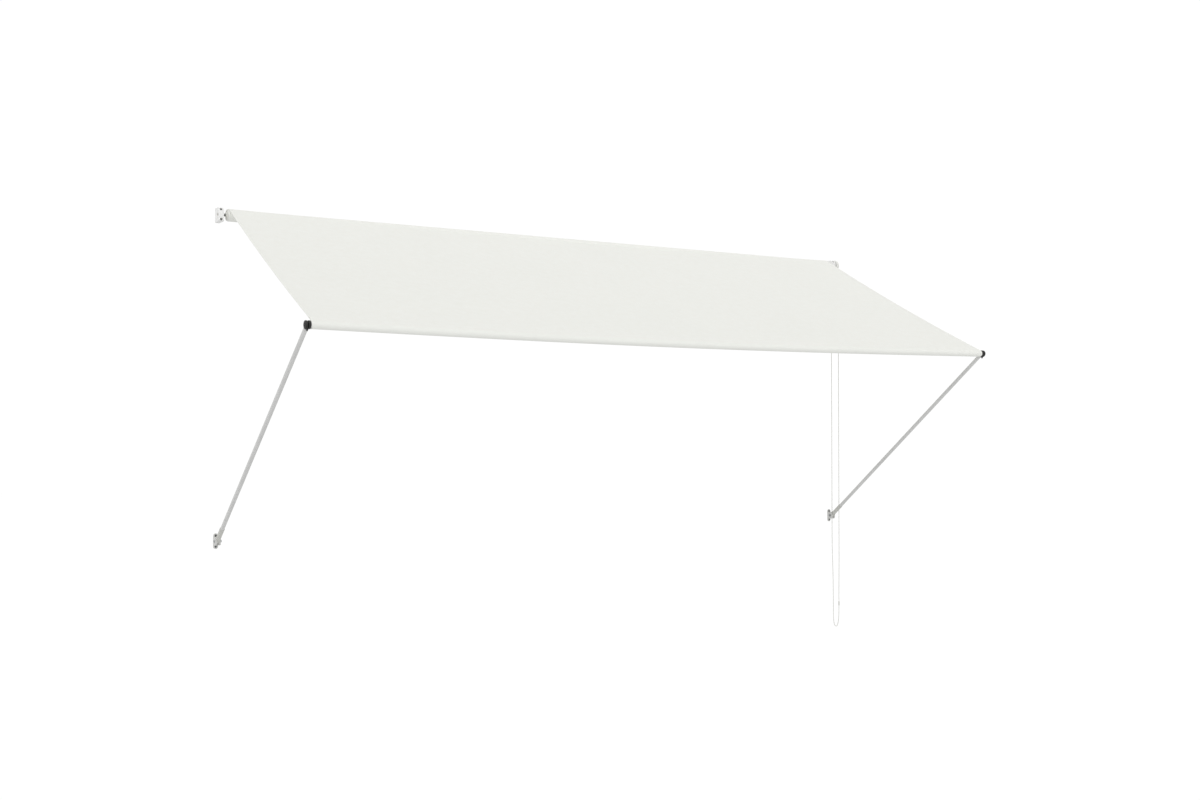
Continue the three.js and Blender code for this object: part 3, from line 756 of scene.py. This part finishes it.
def make_cord():
    line = smooth_route(cord_route(), 5)
    sides = 14
    rings, run, total = [], [0.0], 0.0
    for i, point in enumerate(line):
        ahead = (line[min(i + 1, len(line) - 1)] - line[max(i - 1, 0)]).normalized()
        out = ahead.cross(Vector((1, 0, 0)))
        ring = [2 * math.pi * k / sides for k in range(sides)]
        rings.append([point + CORD_R * (math.cos(a) * Vector((1, 0, 0)) + math.sin(a) * out) for a in ring])
        if i:
            total += (point - line[i - 1]).length
            run.append(total)
    mesh = bpy.data.meshes.new("pull_cord_loop")
    corners = [tuple(p) for ring in rings for p in ring] + [tuple(line[0]), tuple(line[-1])]
    faces, coords = [], []
    for i in range(len(rings) - 1):
        for k in range(sides):
            n = (k + 1) % sides
            faces.append((i * sides + k, (i + 1) * sides + k, (i + 1) * sides + n, i * sides + n))
            low, high = k / sides, (k + 1) / sides
            coords += [(run[i], low), (run[i + 1], low), (run[i + 1], high), (run[i], high)]
    last = (len(rings) - 1) * sides
    for k in range(sides):
        n = (k + 1) % sides
        faces.append((len(corners) - 2, k, n))
        faces.append((len(corners) - 1, last + n, last + k))
        coords += [(0.0, k / sides)] * 3 + [(total, k / sides)] * 3
    mesh.from_pydata(corners, [], faces)
    layer = mesh.uv_layers.new(name="cloth")
    for loop, place in zip(layer.data, coords):
        loop.uv = place
    piece = bpy.data.objects.new("pull_cord_loop", mesh)
    bpy.context.scene.collection.objects.link(piece)
    work_on(piece)
    open_mesh()
    close_mesh()
    smooth(piece, 60)
    return piece, line, total


def make_cord_connector():
    """Sleeve round the cord, with five grooves for the fingers."""
    bore, rim, ridge, groove, half = 0.0027, 0.0036, 0.0044, 0.0040, 0.0128
    grip = [(-half, bore), (-half, rim), (-0.0108, ridge)]
    for i in range(5):
        x = -0.0085 + i * 0.0036
        grip += [(x, ridge), (x + 0.0006, groove), (x + 0.0016, groove), (x + 0.0022, ridge)]
    grip += [(0.0108, ridge), (half, rim), (half, bore), (-half, bore)]
    piece = turned("cord_connector", grip, 32, bored=True)
    smooth(piece, 30)
    return settle(piece, (WHEEL_X, ROLLER_Y - 0.030, -2.165), (0, math.pi / 2, 0))


# ---- cloth ----


def grid_piece(name, columns, rows, point, metres):
    """A cloth grid with a vertex at each column and row: point and metres give its place and its map."""
    deselect()
    wide, long = len(columns) - 1, len(rows) - 1
    bpy.ops.mesh.primitive_grid_add(x_subdivisions=wide, y_subdivisions=long, size=2)
    piece = named(bpy.context.object, name)
    spots = [(round((v.co.x + 1) / 2 * wide), round((v.co.y + 1) / 2 * long)) for v in piece.data.vertices]
    for vertex, (i, k) in zip(piece.data.vertices, spots):
        vertex.co = point(columns[i], rows[k])
    layer = piece.data.uv_layers.active
    layer.name = "cloth"
    for loop in piece.data.loops:
        i, k = spots[loop.vertex_index]
        layer.data[loop.index].uv = metres(columns[i], rows[k])
    return piece, spots


def side_edges(v):
    return between(CLOTH_AT_ROLLER[0], CLOTH_AT_BAR[0], v), between(CLOTH_AT_ROLLER[1], CLOTH_AT_BAR[1], v)


def ripple(x, v, left, right):
    """Slight waves along the pull, and slack pleats that fan from the front corners."""
    calm = math.sin(math.pi * v) ** 0.5 if 0 < v < 1 else 0.0
    wave = 0.0008 * math.sin(2 * math.pi * x / 0.47 + 1.1)
    wave += 0.0005 * math.sin(2 * math.pi * x / 0.21 + 2.0 * v)
    for side in (x - left, right - x):
        reach = math.hypot(side, (1 - v) * 1.4)
        angle = math.atan2(side + 0.02, (1 - v) * 1.4 + 0.02)
        wave += 0.0012 * math.exp(-reach / 0.35) * math.sin(9 * angle)
    return wave * calm


def cloth_point(u, v):
    """u is 0 to 1 across. v is 0 where the cloth leaves the roll and 1 at the bar.

    Below 0, v is the angle that the cloth has already gone round the roll.
    """
    left, right = side_edges(max(v, 0))
    x = between(left, right, u)
    if v < 0:
        centre = ROLLER + Vector((x, 0, -roller_drop(x)))
        return centre + SHEET_R * (RISE * math.cos(-v) - SLOPE * math.sin(-v))
    off = between(SHEET_R, POCKET_R - 0.0008, v)
    drop = between(roller_drop(x), bar_drop(x), v) + 4 * CLOTH_BELLY * v * (1 - v)
    place = Vector((x, ROLLER_Y, 0)) + SLOPE * (DROP_LENGTH * v) + RISE * (off + ripple(x, v, left, right))
    return place - Vector((0, 0, drop))


def make_stretched_cloth():
    width = 3.9  # near enough to place the hems' columns
    hem = HEM / width
    columns = [0, hem * 0.12, hem * 0.5, hem * 0.96, hem * 1.08]
    columns += [between(hem * 1.6, 1 - hem * 1.6, i / 150) for i in range(151)]
    columns += [1 - c for c in (hem * 1.08, hem * 0.96, hem * 0.5, hem * 0.12, 0)]
    wrap = [-math.radians(a) for a in (56, 44, 32, 22, 12, 5)]
    rows = wrap + [i / 46 for i in range(47)]
    end = 1 - 0.004 / DROP_LENGTH  # it stops just short of the bar's top, inside the pocket
    rows = [min(r, end) for r in rows]

    def metres(u, v):
        left, right = side_edges(max(v, 0))
        along = DROP_LENGTH * v if v >= 0 else ROLL_R * v
        return between(left, right, u), -along

    piece, spots = grid_piece("stretched_cloth", columns, rows, cloth_point, metres)
    from_side = [min(columns[i], 1 - columns[i]) * width for i, _ in spots]
    held = piece.data.attributes.new("from_side", "FLOAT", "POINT")
    held.data.foreach_set("value", [min(d, 0.2) for d in from_side])
    thick = piece.vertex_groups.new(name="hem")
    for n, distance in enumerate(from_side):
        thick.add([n], 1.0 if distance < HEM - 0.0005 else 0.5, "REPLACE")
    apply_modifier(
        piece, "SOLIDIFY", thickness=2 * CLOTH, offset=0.0, vertex_group="hem", thickness_vertex_group=0.0,
        use_even_offset=True,
    )
    smooth(piece, 40)
    return piece


def make_cloth_roll():
    """The turns left on the roller: a sleeve whose ends show the edges of the layers."""
    first, last = CLOTH_AT_ROLLER
    inner = TUBE_R + 0.0002
    layers = [(i % 2, inner + (ROLL_R - inner) * (i + 1) / 3) for i in range(3)]
    offset, groove = 0.0006, 0.0002  # every other layer is set back, and their edges are rounded
    outline = [(first, inner)]
    for odd, radius in layers:
        outline += [(first + offset * odd, radius - groove), (first + offset * odd, radius)]
    outline += [(between(first, last, i / 30), ROLL_R) for i in range(1, 30)]
    for odd, radius in reversed(layers):
        outline += [(last - offset * odd, radius), (last - offset * odd, radius - groove)]
    outline += [(last, inner), (first, inner)]
    piece = turned("cloth_roll", outline, 80, bored=True)
    for vertex in piece.data.vertices:
        vertex.co.z -= roller_drop(vertex.co.x)
    layer = piece.data.uv_layers.new(name="cloth")
    for loop in piece.data.loops:
        co = piece.data.vertices[loop.vertex_index].co
        turn = math.atan2(co.z + roller_drop(co.x), co.y)
        layer.data[loop.index].uv = (co.x, abs(turn) * ROLL_R)
    smooth(piece, 40)
    return settle(piece, ROLLER)


def pocket_outline():
    """Section of the pocket as (down the cloth from the bar's axis, out of its face)."""
    tip = [(-TAIL, POCKET_R - 0.0013), (-TAIL, POCKET_R + 0.0008)]
    # lifts and depths are in tenths of a millimetre
    crest = [(-TAIL + 0.006, 12), (-SEAM - 0.004, 12), (-SEAM, 10), (-SEAM + 0.006, 10), (-0.012, 7)]
    top = [(down, POCKET_R + lift / 10000) for down, lift in crest]
    wrapped = 232  # degrees of the bar that the pocket goes round
    start, stop = math.radians(90), math.radians(90 - wrapped)
    turn = [between(start, stop, i / 30) for i in range(31)]
    loop_r = POCKET_R + 0.0002
    round_bar = [(loop_r * math.cos(a), loop_r * math.sin(a)) for a in turn]
    fold = [(-SEAM + 0.006, 33), (-SEAM - 0.001, 22), (-TAIL + 0.006, 17)]
    under = [(down, POCKET_R - sunk / 10000) for down, sunk in fold]
    return [*tip, *top, *round_bar, *under]


def make_bar_pocket():
    outline = pocket_outline()
    deselect()
    bpy.ops.mesh.primitive_circle_add(vertices=len(outline), radius=0.02, fill_type="NGON")
    piece = named(bpy.context.object, "bar_pocket")
    first, last = CLOTH_AT_BAR
    for vertex, (down, out) in zip(piece.data.vertices, outline):
        vertex.co = Vector((first, 0, 0)) + SLOPE * down + RISE * out
    open_mesh()
    bpy.ops.mesh.inset(thickness=0.0012, depth=0)
    bpy.ops.mesh.select_all(action="SELECT")
    steps = 72
    for _ in range(steps):
        bpy.ops.mesh.extrude_region_move()
        bpy.ops.transform.translate(value=((last - first) / steps, 0, 0))
    close_mesh()
    runs = []
    for vertex in piece.data.vertices:
        down, out = vertex.co.dot(SLOPE), vertex.co.dot(RISE)
        turn = math.pi / 2 - math.atan2(out, down)
        runs.append(down if down < 0 else POCKET_R * turn)
    seam = piece.data.attributes.new("from_seam", "FLOAT", "POINT")
    seam.data.foreach_set("value", [-SEAM - run for run in runs])
    layer = piece.data.uv_layers.active or piece.data.uv_layers.new(name="cloth")
    layer.name = "cloth"
    for loop in piece.data.loops:
        layer.data[loop.index].uv = (piece.data.vertices[loop.vertex_index].co.x, runs[loop.vertex_index])
    neck, taper, cut_back = 0.018, 0.008, 0.003  # the neck's corners clear the top brackets
    for vertex in piece.data.vertices:
        x, up = vertex.co.x, -vertex.co.dot(SLOPE)
        if up > neck and min(x - first, last - x) < 0.001:
            vertex.co.x += math.copysign(cut_back, SPAN / 2 - x) * min((up - neck) / taper, 1)
        vertex.co.z -= bar_drop(x)
    smooth(piece, 35)
    return settle(piece, BAR)


# ---- hard pieces ----


def pan_head_screw(neck):
    """A cross-recessed screw along Y, its head bearing at Y = neck."""
    head = [
        (0.0034, 0.0009), (0.0034, 0.0016), (0.0031, 0.0029), (0.0024, 0.0042), (0.0014, 0.0050),
        (0.0004, 0.0054), (0.0, 0.0052), (0.0, 0.0024), (neck + 0.0006, 0.0024), (neck + 0.0003, 0.0018),
    ]
    piece = turned("screw", head, 32)
    for wide, high in ((0.0006, 0.0034), (0.0034, 0.0006)):
        cut_with(piece, block("recess", (0.0018, -wide, -high), (0.006, wide, high)))
    smooth(piece, 32)
    return settle(piece, (0, neck, 0), (0, 0, -math.pi / 2))


def make_wall_screws():
    """Two in each wall bracket."""
    for kind, right_x, neck, places in (
        ("top", RIGHT_BRACKET_X, -0.0053, (0.025, -0.025)),
        ("lower", SPAN, -0.0043, (PIVOT_Z + 0.0265, PIVOT_Z - 0.029)),
    ):
        pattern = pan_head_screw(neck)
        for side, x in (("left", 0.0), ("right", right_x)):
            for level, z in zip(("upper", "lower"), places):
                node = f"{kind}_screw_{level}_{side}"
                screw = twin(pattern, f"wall_{node}", (x, 0, z))
                fit(screw, "wall_fittings", PAINTED_SHADE_ZINC, "zinc", node)
        remove(pattern)


def make_brackets():
    for side in ("left", "right"):
        top = rounded_from(f"top_bracket_{side}", f"roller_bracket_{side}", 0.0014)
        smooth(top)
        fit(top, "wall_fittings", WHITE_COAT, "white_metal", f"top_bracket_{side}")
        low = rounded_from(f"lower_bracket_{side}", f"fork_bracket_{side}", 0.0008)
        smooth(low)
        fit(low, "wall_fittings", PAINTED_SHADE_COAT, "white_metal", f"lower_bracket_{side}")


def make_bushes():
    for side, x, way in (("left", 0.0, 1), ("right", RIGHT_BRACKET_X, -1)):
        outline = [
            (-0.012, AXLE_BORE), (-0.012, 0.009), (0.0133, 0.009), (0.0133, 0.0117), (0.0136, 0.012),
            (0.0150, 0.012), (0.0153, 0.0117), (0.0153, 0.0068), (0.0148, AXLE_BORE), (-0.012, AXLE_BORE),
        ]
        bush = turned(f"bearing_bush_{side}", outline, 48, bored=True)
        smooth(bush, 30)
        settle(bush, (x, ROLLER_Y, 0), (0, 0, 0 if way > 0 else math.pi))
        fit(bush, "wall_fittings", BUSH_NYLON, "nylon", f"axle_bush_{side}")


def make_pivots():
    for side, x, way in (("left", 0.0, -1), ("right", SPAN, 1)):
        head = [
            (0.0173, 0.0008), (0.0173, 0.0038), (0.0167, 0.0052), (0.0155, 0.0063), (0.0138, 0.0068),
            (0.0133, 0.0066), (0.0133, 0.004), (-0.0211, 0.004), (-0.0215, 0.0034), (-0.0215, 0.0004),
        ]
        bolt = turned(f"fork_bolt_{side}", head, 40)
        smooth(bolt, 32)
        settle(bolt, (x, PIVOT_Y, PIVOT_Z), (0, 0, 0 if way > 0 else math.pi))
        fit(bolt, "wall_fittings", ZINC, "zinc", f"pivot_bolt_{side}")
        nut = rounded_from(f"pivot_nut_{side}", f"fork_nut_{side}", 0.0005)
        smooth(nut, 30)
        fit(nut, "wall_fittings", ZINC, "zinc", f"pivot_nut_{side}")


def along_arm(piece, x):
    """Turns a piece made along X, from the pivot outwards, onto an arm."""
    work_on(piece)
    piece.rotation_mode = "QUATERNION"
    direction = Vector((0, -math.sin(ARM_TILT), math.cos(ARM_TILT)))
    across = Vector((1, 0, 0)).cross(direction)
    turn = Matrix((direction, across, Vector((1, 0, 0)))).transposed().to_4x4()
    piece.matrix_world = Matrix.Translation((x, PIVOT_Y, PIVOT_Z)) @ turn
    apply_place()
    return piece


def make_arm_tube(side):
    low, high = 0.0323, ARM_LENGTH - 0.0197
    radius, bore, lip = 0.01, 0.0088, 0.0004
    outline = [(low, bore), (low, radius - lip), (low + lip, radius)]
    outline += [(low + step, radius) for step in (0.4, 0.8, 1.2)]
    outline += [(high - lip, radius), (high, radius - lip), (high, bore), (low, bore)]
    tube = turned(f"arm_pipe_{side}", outline, 56, bored=True)
    smooth(tube, 30)
    return tube


def make_arm_foot(side):
    """Moulded socket with a beaded rim, and the rounded tongue that sits in the fork."""
    socket = turned("socket", [
        (0.0245, CORE), (0.0245, 0.0104), (0.0248, 0.0112), (0.0258, 0.0118), (0.0290, 0.0118),
        (0.0300, 0.0118), (0.0985, 0.0118), (0.0990, 0.0115), (0.0998, 0.0115), (0.1003, 0.0118),
        (0.1035, 0.0118), (0.1040, 0.0121), (0.1048, 0.0123), (0.1066, 0.0123), (0.1075, 0.0120),
        (0.1080, 0.0113), (0.1080, 0.0106), (0.1074, 0.0103), (0.0323, 0.0103), (0.0323, CORE),
    ], 64)
    tongue = block("tongue", (0.0, -0.0118, -0.0065), (0.0275, 0.0118, 0.0065))
    heel = settle(rod("heel", 0.0124, -0.0065, 0.0065, 64), turn=(0, math.pi / 2, 0))
    tongue = fused("tongue", tongue, heel)
    cut_with(tongue, settle(rod("bolt_bore", BOLT_BORE, -THROUGH, THROUGH, 32), turn=(0, math.pi / 2, 0)))
    round_edges(tongue, 0.0007)
    foot = fused(f"arm_socket_{side}", socket, tongue)
    smooth(foot, 35)
    return foot


def drawn_to_a_point(piece, x, share):
    """Narrows the lower end of a block towards x."""
    lowest = min(v.co.z for v in piece.data.vertices)
    for element in (*piece.data.vertices, *piece.data.edges, *piece.data.polygons):
        element.select = False
    for vertex in piece.data.vertices:
        vertex.select = vertex.co.z < lowest + 1e-5
    work_on(piece)
    bpy.ops.object.mode_set(mode="EDIT")
    bpy.ops.transform.resize(value=(share, share, 1), center_override=(x, 0, lowest))
    close_mesh(face_out=False)


def make_knuckle():
    """Left outer half of the joint, the neck in its tube, and the beak that hangs under both halves."""
    inner = -0.0012  # its face towards the cap's half
    lobe = turned("lobe", [
        (inner, BOLT_BORE), (inner, 0.0152), (-0.0016, 0.0162), (-0.0026, 0.0175), (-0.0036, 0.0182),
        (-0.0048, JOINT_R), (-0.0088, JOINT_R), (-0.0104, 0.0180), (-0.0116, 0.0169), (-0.0123, 0.0152),
        (-0.0125, 0.0135), (-0.0125, 0.0094), (-0.0119, 0.0088), (-0.0119, 0.0078), (-0.0125, 0.0072),
        (-0.0125, BOLT_BORE), (inner, BOLT_BORE),
    ], 72, bored=True)
    saddle = turned("saddle", [
        (-0.0194, CORE), (-0.0194, 0.0088), (-0.0188, 0.0095), (-0.0120, 0.0095), (-0.0120, CORE),
    ], 56)
    settle(saddle, turn=(0, -math.pi / 2, 0))
    cut_with(saddle, block("other_half", (inner, -0.02, -0.03), (THROUGH, 0.02, 0)))
    tie = block("tie", (-0.0062, -0.0053, -0.0240), (inner, 0.0053, -0.0121))
    spigot = turned("spigot", [
        (-0.0590, CORE), (-0.0590, 0.0074), (-0.0580, 0.0084), (-0.0203, 0.0084), (-0.0198, 0.0079),
        (-0.0198, CORE),
    ], 56)
    settle(spigot, turn=(0, -math.pi / 2, 0))
    neck = fused("neck", saddle, tie, spigot)
    settle(neck, turn=(ARM_TILT, 0, 0))
    beak = block("beak", (-0.007, -0.0066, -0.0275), (0.005, 0.0066, -0.0150))
    drawn_to_a_point(beak, -0.001, 0.25)
    round_edges(beak, 0.0009)
    cut_with(beak, rod("cap_clearance", JOINT_R + 0.0008, inner, 0.007, 72))
    cut_with(beak, rod("beak_bore", 0.0100, -THROUGH, THROUGH))
    knuckle = fused("arm_head", lobe, neck, beak)
    smooth(knuckle, 34)
    return knuckle


def mirror(piece):
    """Makes a left piece, still at the origin, a right one."""
    for vertex in piece.data.vertices:
        vertex.co.x *= -1
    work_on(piece)
    open_mesh()
    close_mesh()


def make_arms():
    pattern = make_knuckle()
    for side, x in (("left", 0.0), ("right", SPAN)):
        body = f"arm_{side}"
        tube = along_arm(make_arm_tube(side), x)
        fit(tube, body, GREY_COAT, "white_metal", f"arm_tube_{side}")
        foot = along_arm(make_arm_foot(side), x)
        fit(foot, body, FOOT_PLASTIC, "white_plastic", f"arm_foot_{side}")
        knuckle = twin(pattern, f"arm_head_{side}")
        if side == "right":
            mirror(knuckle)
        settle(knuckle, BAR + Vector((x, 0, 0)))
        fit(knuckle, body, BLACK_NYLON, "black_plastic", f"arm_knuckle_{side}")
    remove(pattern)


def make_bar_caps():
    """Inner half of each joint, on a plug that sits in the bar."""
    outline = [
        (0.0009, BOLT_BORE), (0.0009, 0.0150), (0.0013, 0.0161), (0.0022, 0.0174), (0.0032, 0.0182),
        (0.0044, JOINT_R), (0.0098, JOINT_R), (0.0112, 0.0181), (0.0121, 0.0172), (0.0125, 0.0158),
        (0.0125, 0.0141), (0.0430, 0.0141), (0.0445, 0.0131), (0.0460, 0.0115), (0.0460, BOLT_BORE),
        (0.0009, BOLT_BORE),
    ]
    for side, x, way in (("left", 0.0, 1), ("right", SPAN, -1)):
        cap = turned(f"bar_end_{side}", [(way * a, r) for a, r in outline], 72, bored=True)
        smooth(cap, 34)
        settle(cap, BAR + Vector((x, 0, 0)))
        fit(cap, "front_bar", BLACK_NYLON, "black_plastic", f"bar_cap_{side}")


def make_roller_plug(name, way, tube_end, hub_end, hub, pin_end, bored):
    """Plug in the tube's end: a dished face, the hub, and its pin, or a stub for a steel pin."""
    from_tube = [
        (-0.034, CORE), (-0.034, 0.0242), (-0.031, 0.0262), (0.0003, 0.0262), (0.0003, 0.0282),
        (0.0006, 0.0285), (0.0016, 0.0285), (0.0020, 0.0281), (0.0022, 0.0268), (0.0018, 0.0262),
        (0.0018, 0.0240), (0.0028, 0.0232), (0.0052, hub + 0.0022), (0.0060, hub + 0.0006), (0.0068, hub),
    ]
    edge = 0.0006
    pin = [(hub_end - way * edge, hub), (hub_end, hub - edge), (hub_end, AXLE_R)]
    pin += [(pin_end - way * 0.0009, AXLE_R), (pin_end, AXLE_R - 0.0009)]
    if bored:
        screw_hole = 0.0027
        pin += [(pin_end, screw_hole), (pin_end - way * 0.014, screw_hole)]
    pin.append((pin[-1][0], CORE))
    plug = turned(name, [(tube_end + way * a, r) for a, r in from_tube] + pin, 72)
    smooth(plug, 30)
    return settle(plug, ROLLER)


def make_cord_wheel():
    """A grooved wheel, dished on both faces, with a hub on the right plug's pin."""
    half, rim_r = 0.006, 0.0355
    rim = [
        (-half, 0.0352), (-0.0057, rim_r), (-0.0048, rim_r), (-0.0046, 0.0351), (-0.0028, 0.0309),
        (-0.0022, 0.03045), (0.0022, 0.03045), (0.0028, 0.0309), (0.0046, 0.0351), (0.0048, rim_r),
        (0.0057, rim_r), (half, 0.0352),
    ]
    face = [
        (half, 0.0262), (0.0056, 0.0256), (0.0028, 0.0242), (0.0025, 0.0236), (0.0025, 0.0126),
        (0.0028, 0.0120), (0.0056, 0.0112), (half, 0.0106),
    ]
    back = [(-x, radius) for x, radius in reversed(face)]
    outline = [*rim, *face, (half, AXLE_BORE), (-half, AXLE_BORE), *back, rim[0]]
    wheel = turned("cord_sheave", outline, 96, bored=True)
    smooth(wheel, 30)
    return settle(wheel, (WHEEL_X, ROLLER_Y, 0))


def make_axle_pin(hub_end):
    """Steel pin of the left plug, from its short hub into the bush."""
    collar, edge = 0.0070, 0.0004
    outline = [
        (0.0262, CORE), (0.0262, collar - edge), (0.0262 - edge, collar), (hub_end + edge, collar),
        (hub_end, collar - edge), (hub_end, AXLE_R), (-0.0101, AXLE_R), (-0.0110, AXLE_R - 0.0009),
        (-0.0110, CORE),
    ]
    pin = turned("left_axle_pin", outline, 48)
    smooth(pin, 30)
    return settle(pin, ROLLER)


def make_roller_ends():
    hub_end = 0.0156  # just clear of the bushes
    left = make_roller_plug("roller_end_left", -1, TUBE_ENDS[0], 0.0245, 0.0095, 0.0235, False)
    fit(make_axle_pin(hub_end), "roller", BLACK_STEEL, "black_metal", "roller_plug_left")
    right_hub, right_pin = RIGHT_BRACKET_X - hub_end, WHEEL_X + 0.005
    right = make_roller_plug("roller_end_right", 1, TUBE_ENDS[1], right_hub, 0.014, right_pin, True)
    fit(left, "roller", WHITE_NYLON, "white_plastic", "roller_plug_left")
    fit(right, "roller", WHITE_NYLON, "white_plastic", "roller_plug_right")
    fit(make_cord_wheel(), "roller", PAINTED_LIGHT_NYLON, "white_plastic", "cord_wheel")
    guard = rounded_from("cord_guard", "cord_finger", 0.0007)
    smooth(guard, 30)
    fit(guard, "wall_fittings", WHITE_NYLON, "white_plastic", "cord_guard")


def make_long_tube(name, radius, bore, ends, drop, centre):
    """A round tube over the whole width, sagging between its ends."""
    first, last = ends
    lip = 0.0003
    outline = [(first, bore), (first, radius - lip), (first + lip, radius)]
    outline += [(between(first, last, i / 32), radius) for i in range(1, 32)]
    outline += [(last - lip, radius), (last, radius - lip), (last, bore)]
    outline += [(between(last, first, i / 32), bore) for i in range(1, 32)] + [outline[0]]
    tube = turned(name, outline, 64, bored=True)
    for vertex in tube.data.vertices:
        vertex.co.z -= drop(vertex.co.x)
    smooth(tube, 30)
    return settle(tube, centre)


def make_tubes():
    roller = make_long_tube("roller_pipe", TUBE_R, TUBE_BORE, TUBE_ENDS, roller_drop, ROLLER)
    fit(roller, "roller", WHITE_COAT, "white_metal", "roller_tube")
    bar = make_long_tube("front_pipe", BAR_R, BAR_R - BAR_WALL, BAR_ENDS, bar_drop, BAR)
    fit(bar, "front_bar", WHITE_COAT, "white_metal", "front_bar")


def finish_plain_nodes():
    """Small screws that are shown as they are packed."""
    coats = (("wheel_screw", ZINC), ("knuckle_screw_left", BLACK_STEEL), ("knuckle_screw_right", BLACK_STEEL))
    for node, material in coats:
        mesh = frame["nodes"][node].data
        mesh.materials.clear()
        mesh.materials.append(material)


# ---- the scene ----

add_camera()
add_surroundings()
add_floor()

cord_loop, cord_line, cord_length = make_cord()
connector = make_cord_connector()
fit(cord_loop, "wall_fittings", CORD, "cord", "pull_cord")
fit(connector, "wall_fittings", WHITE_NYLON, "white_plastic", "cord_joiner")
tuple(cord_line[0])
[tuple(p) for p in cord_line]

cloth_roll = fit(make_cloth_roll(), "roller", CANVAS_PLAIN, "cloth", "wound_cloth")
bar_pocket = fit(make_bar_pocket(), "front_bar", CANVAS_POCKET, "cloth", "hem_pocket")
stretched_cloth = fit(make_stretched_cloth(), "canopy", CANVAS_HEMMED, "cloth", "canopy_sheet")
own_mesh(stretched_cloth)

make_wall_screws()
make_brackets()
make_bushes()
make_pivots()
make_arms()
make_bar_caps()
make_roller_ends()
make_tubes()
finish_plain_nodes()
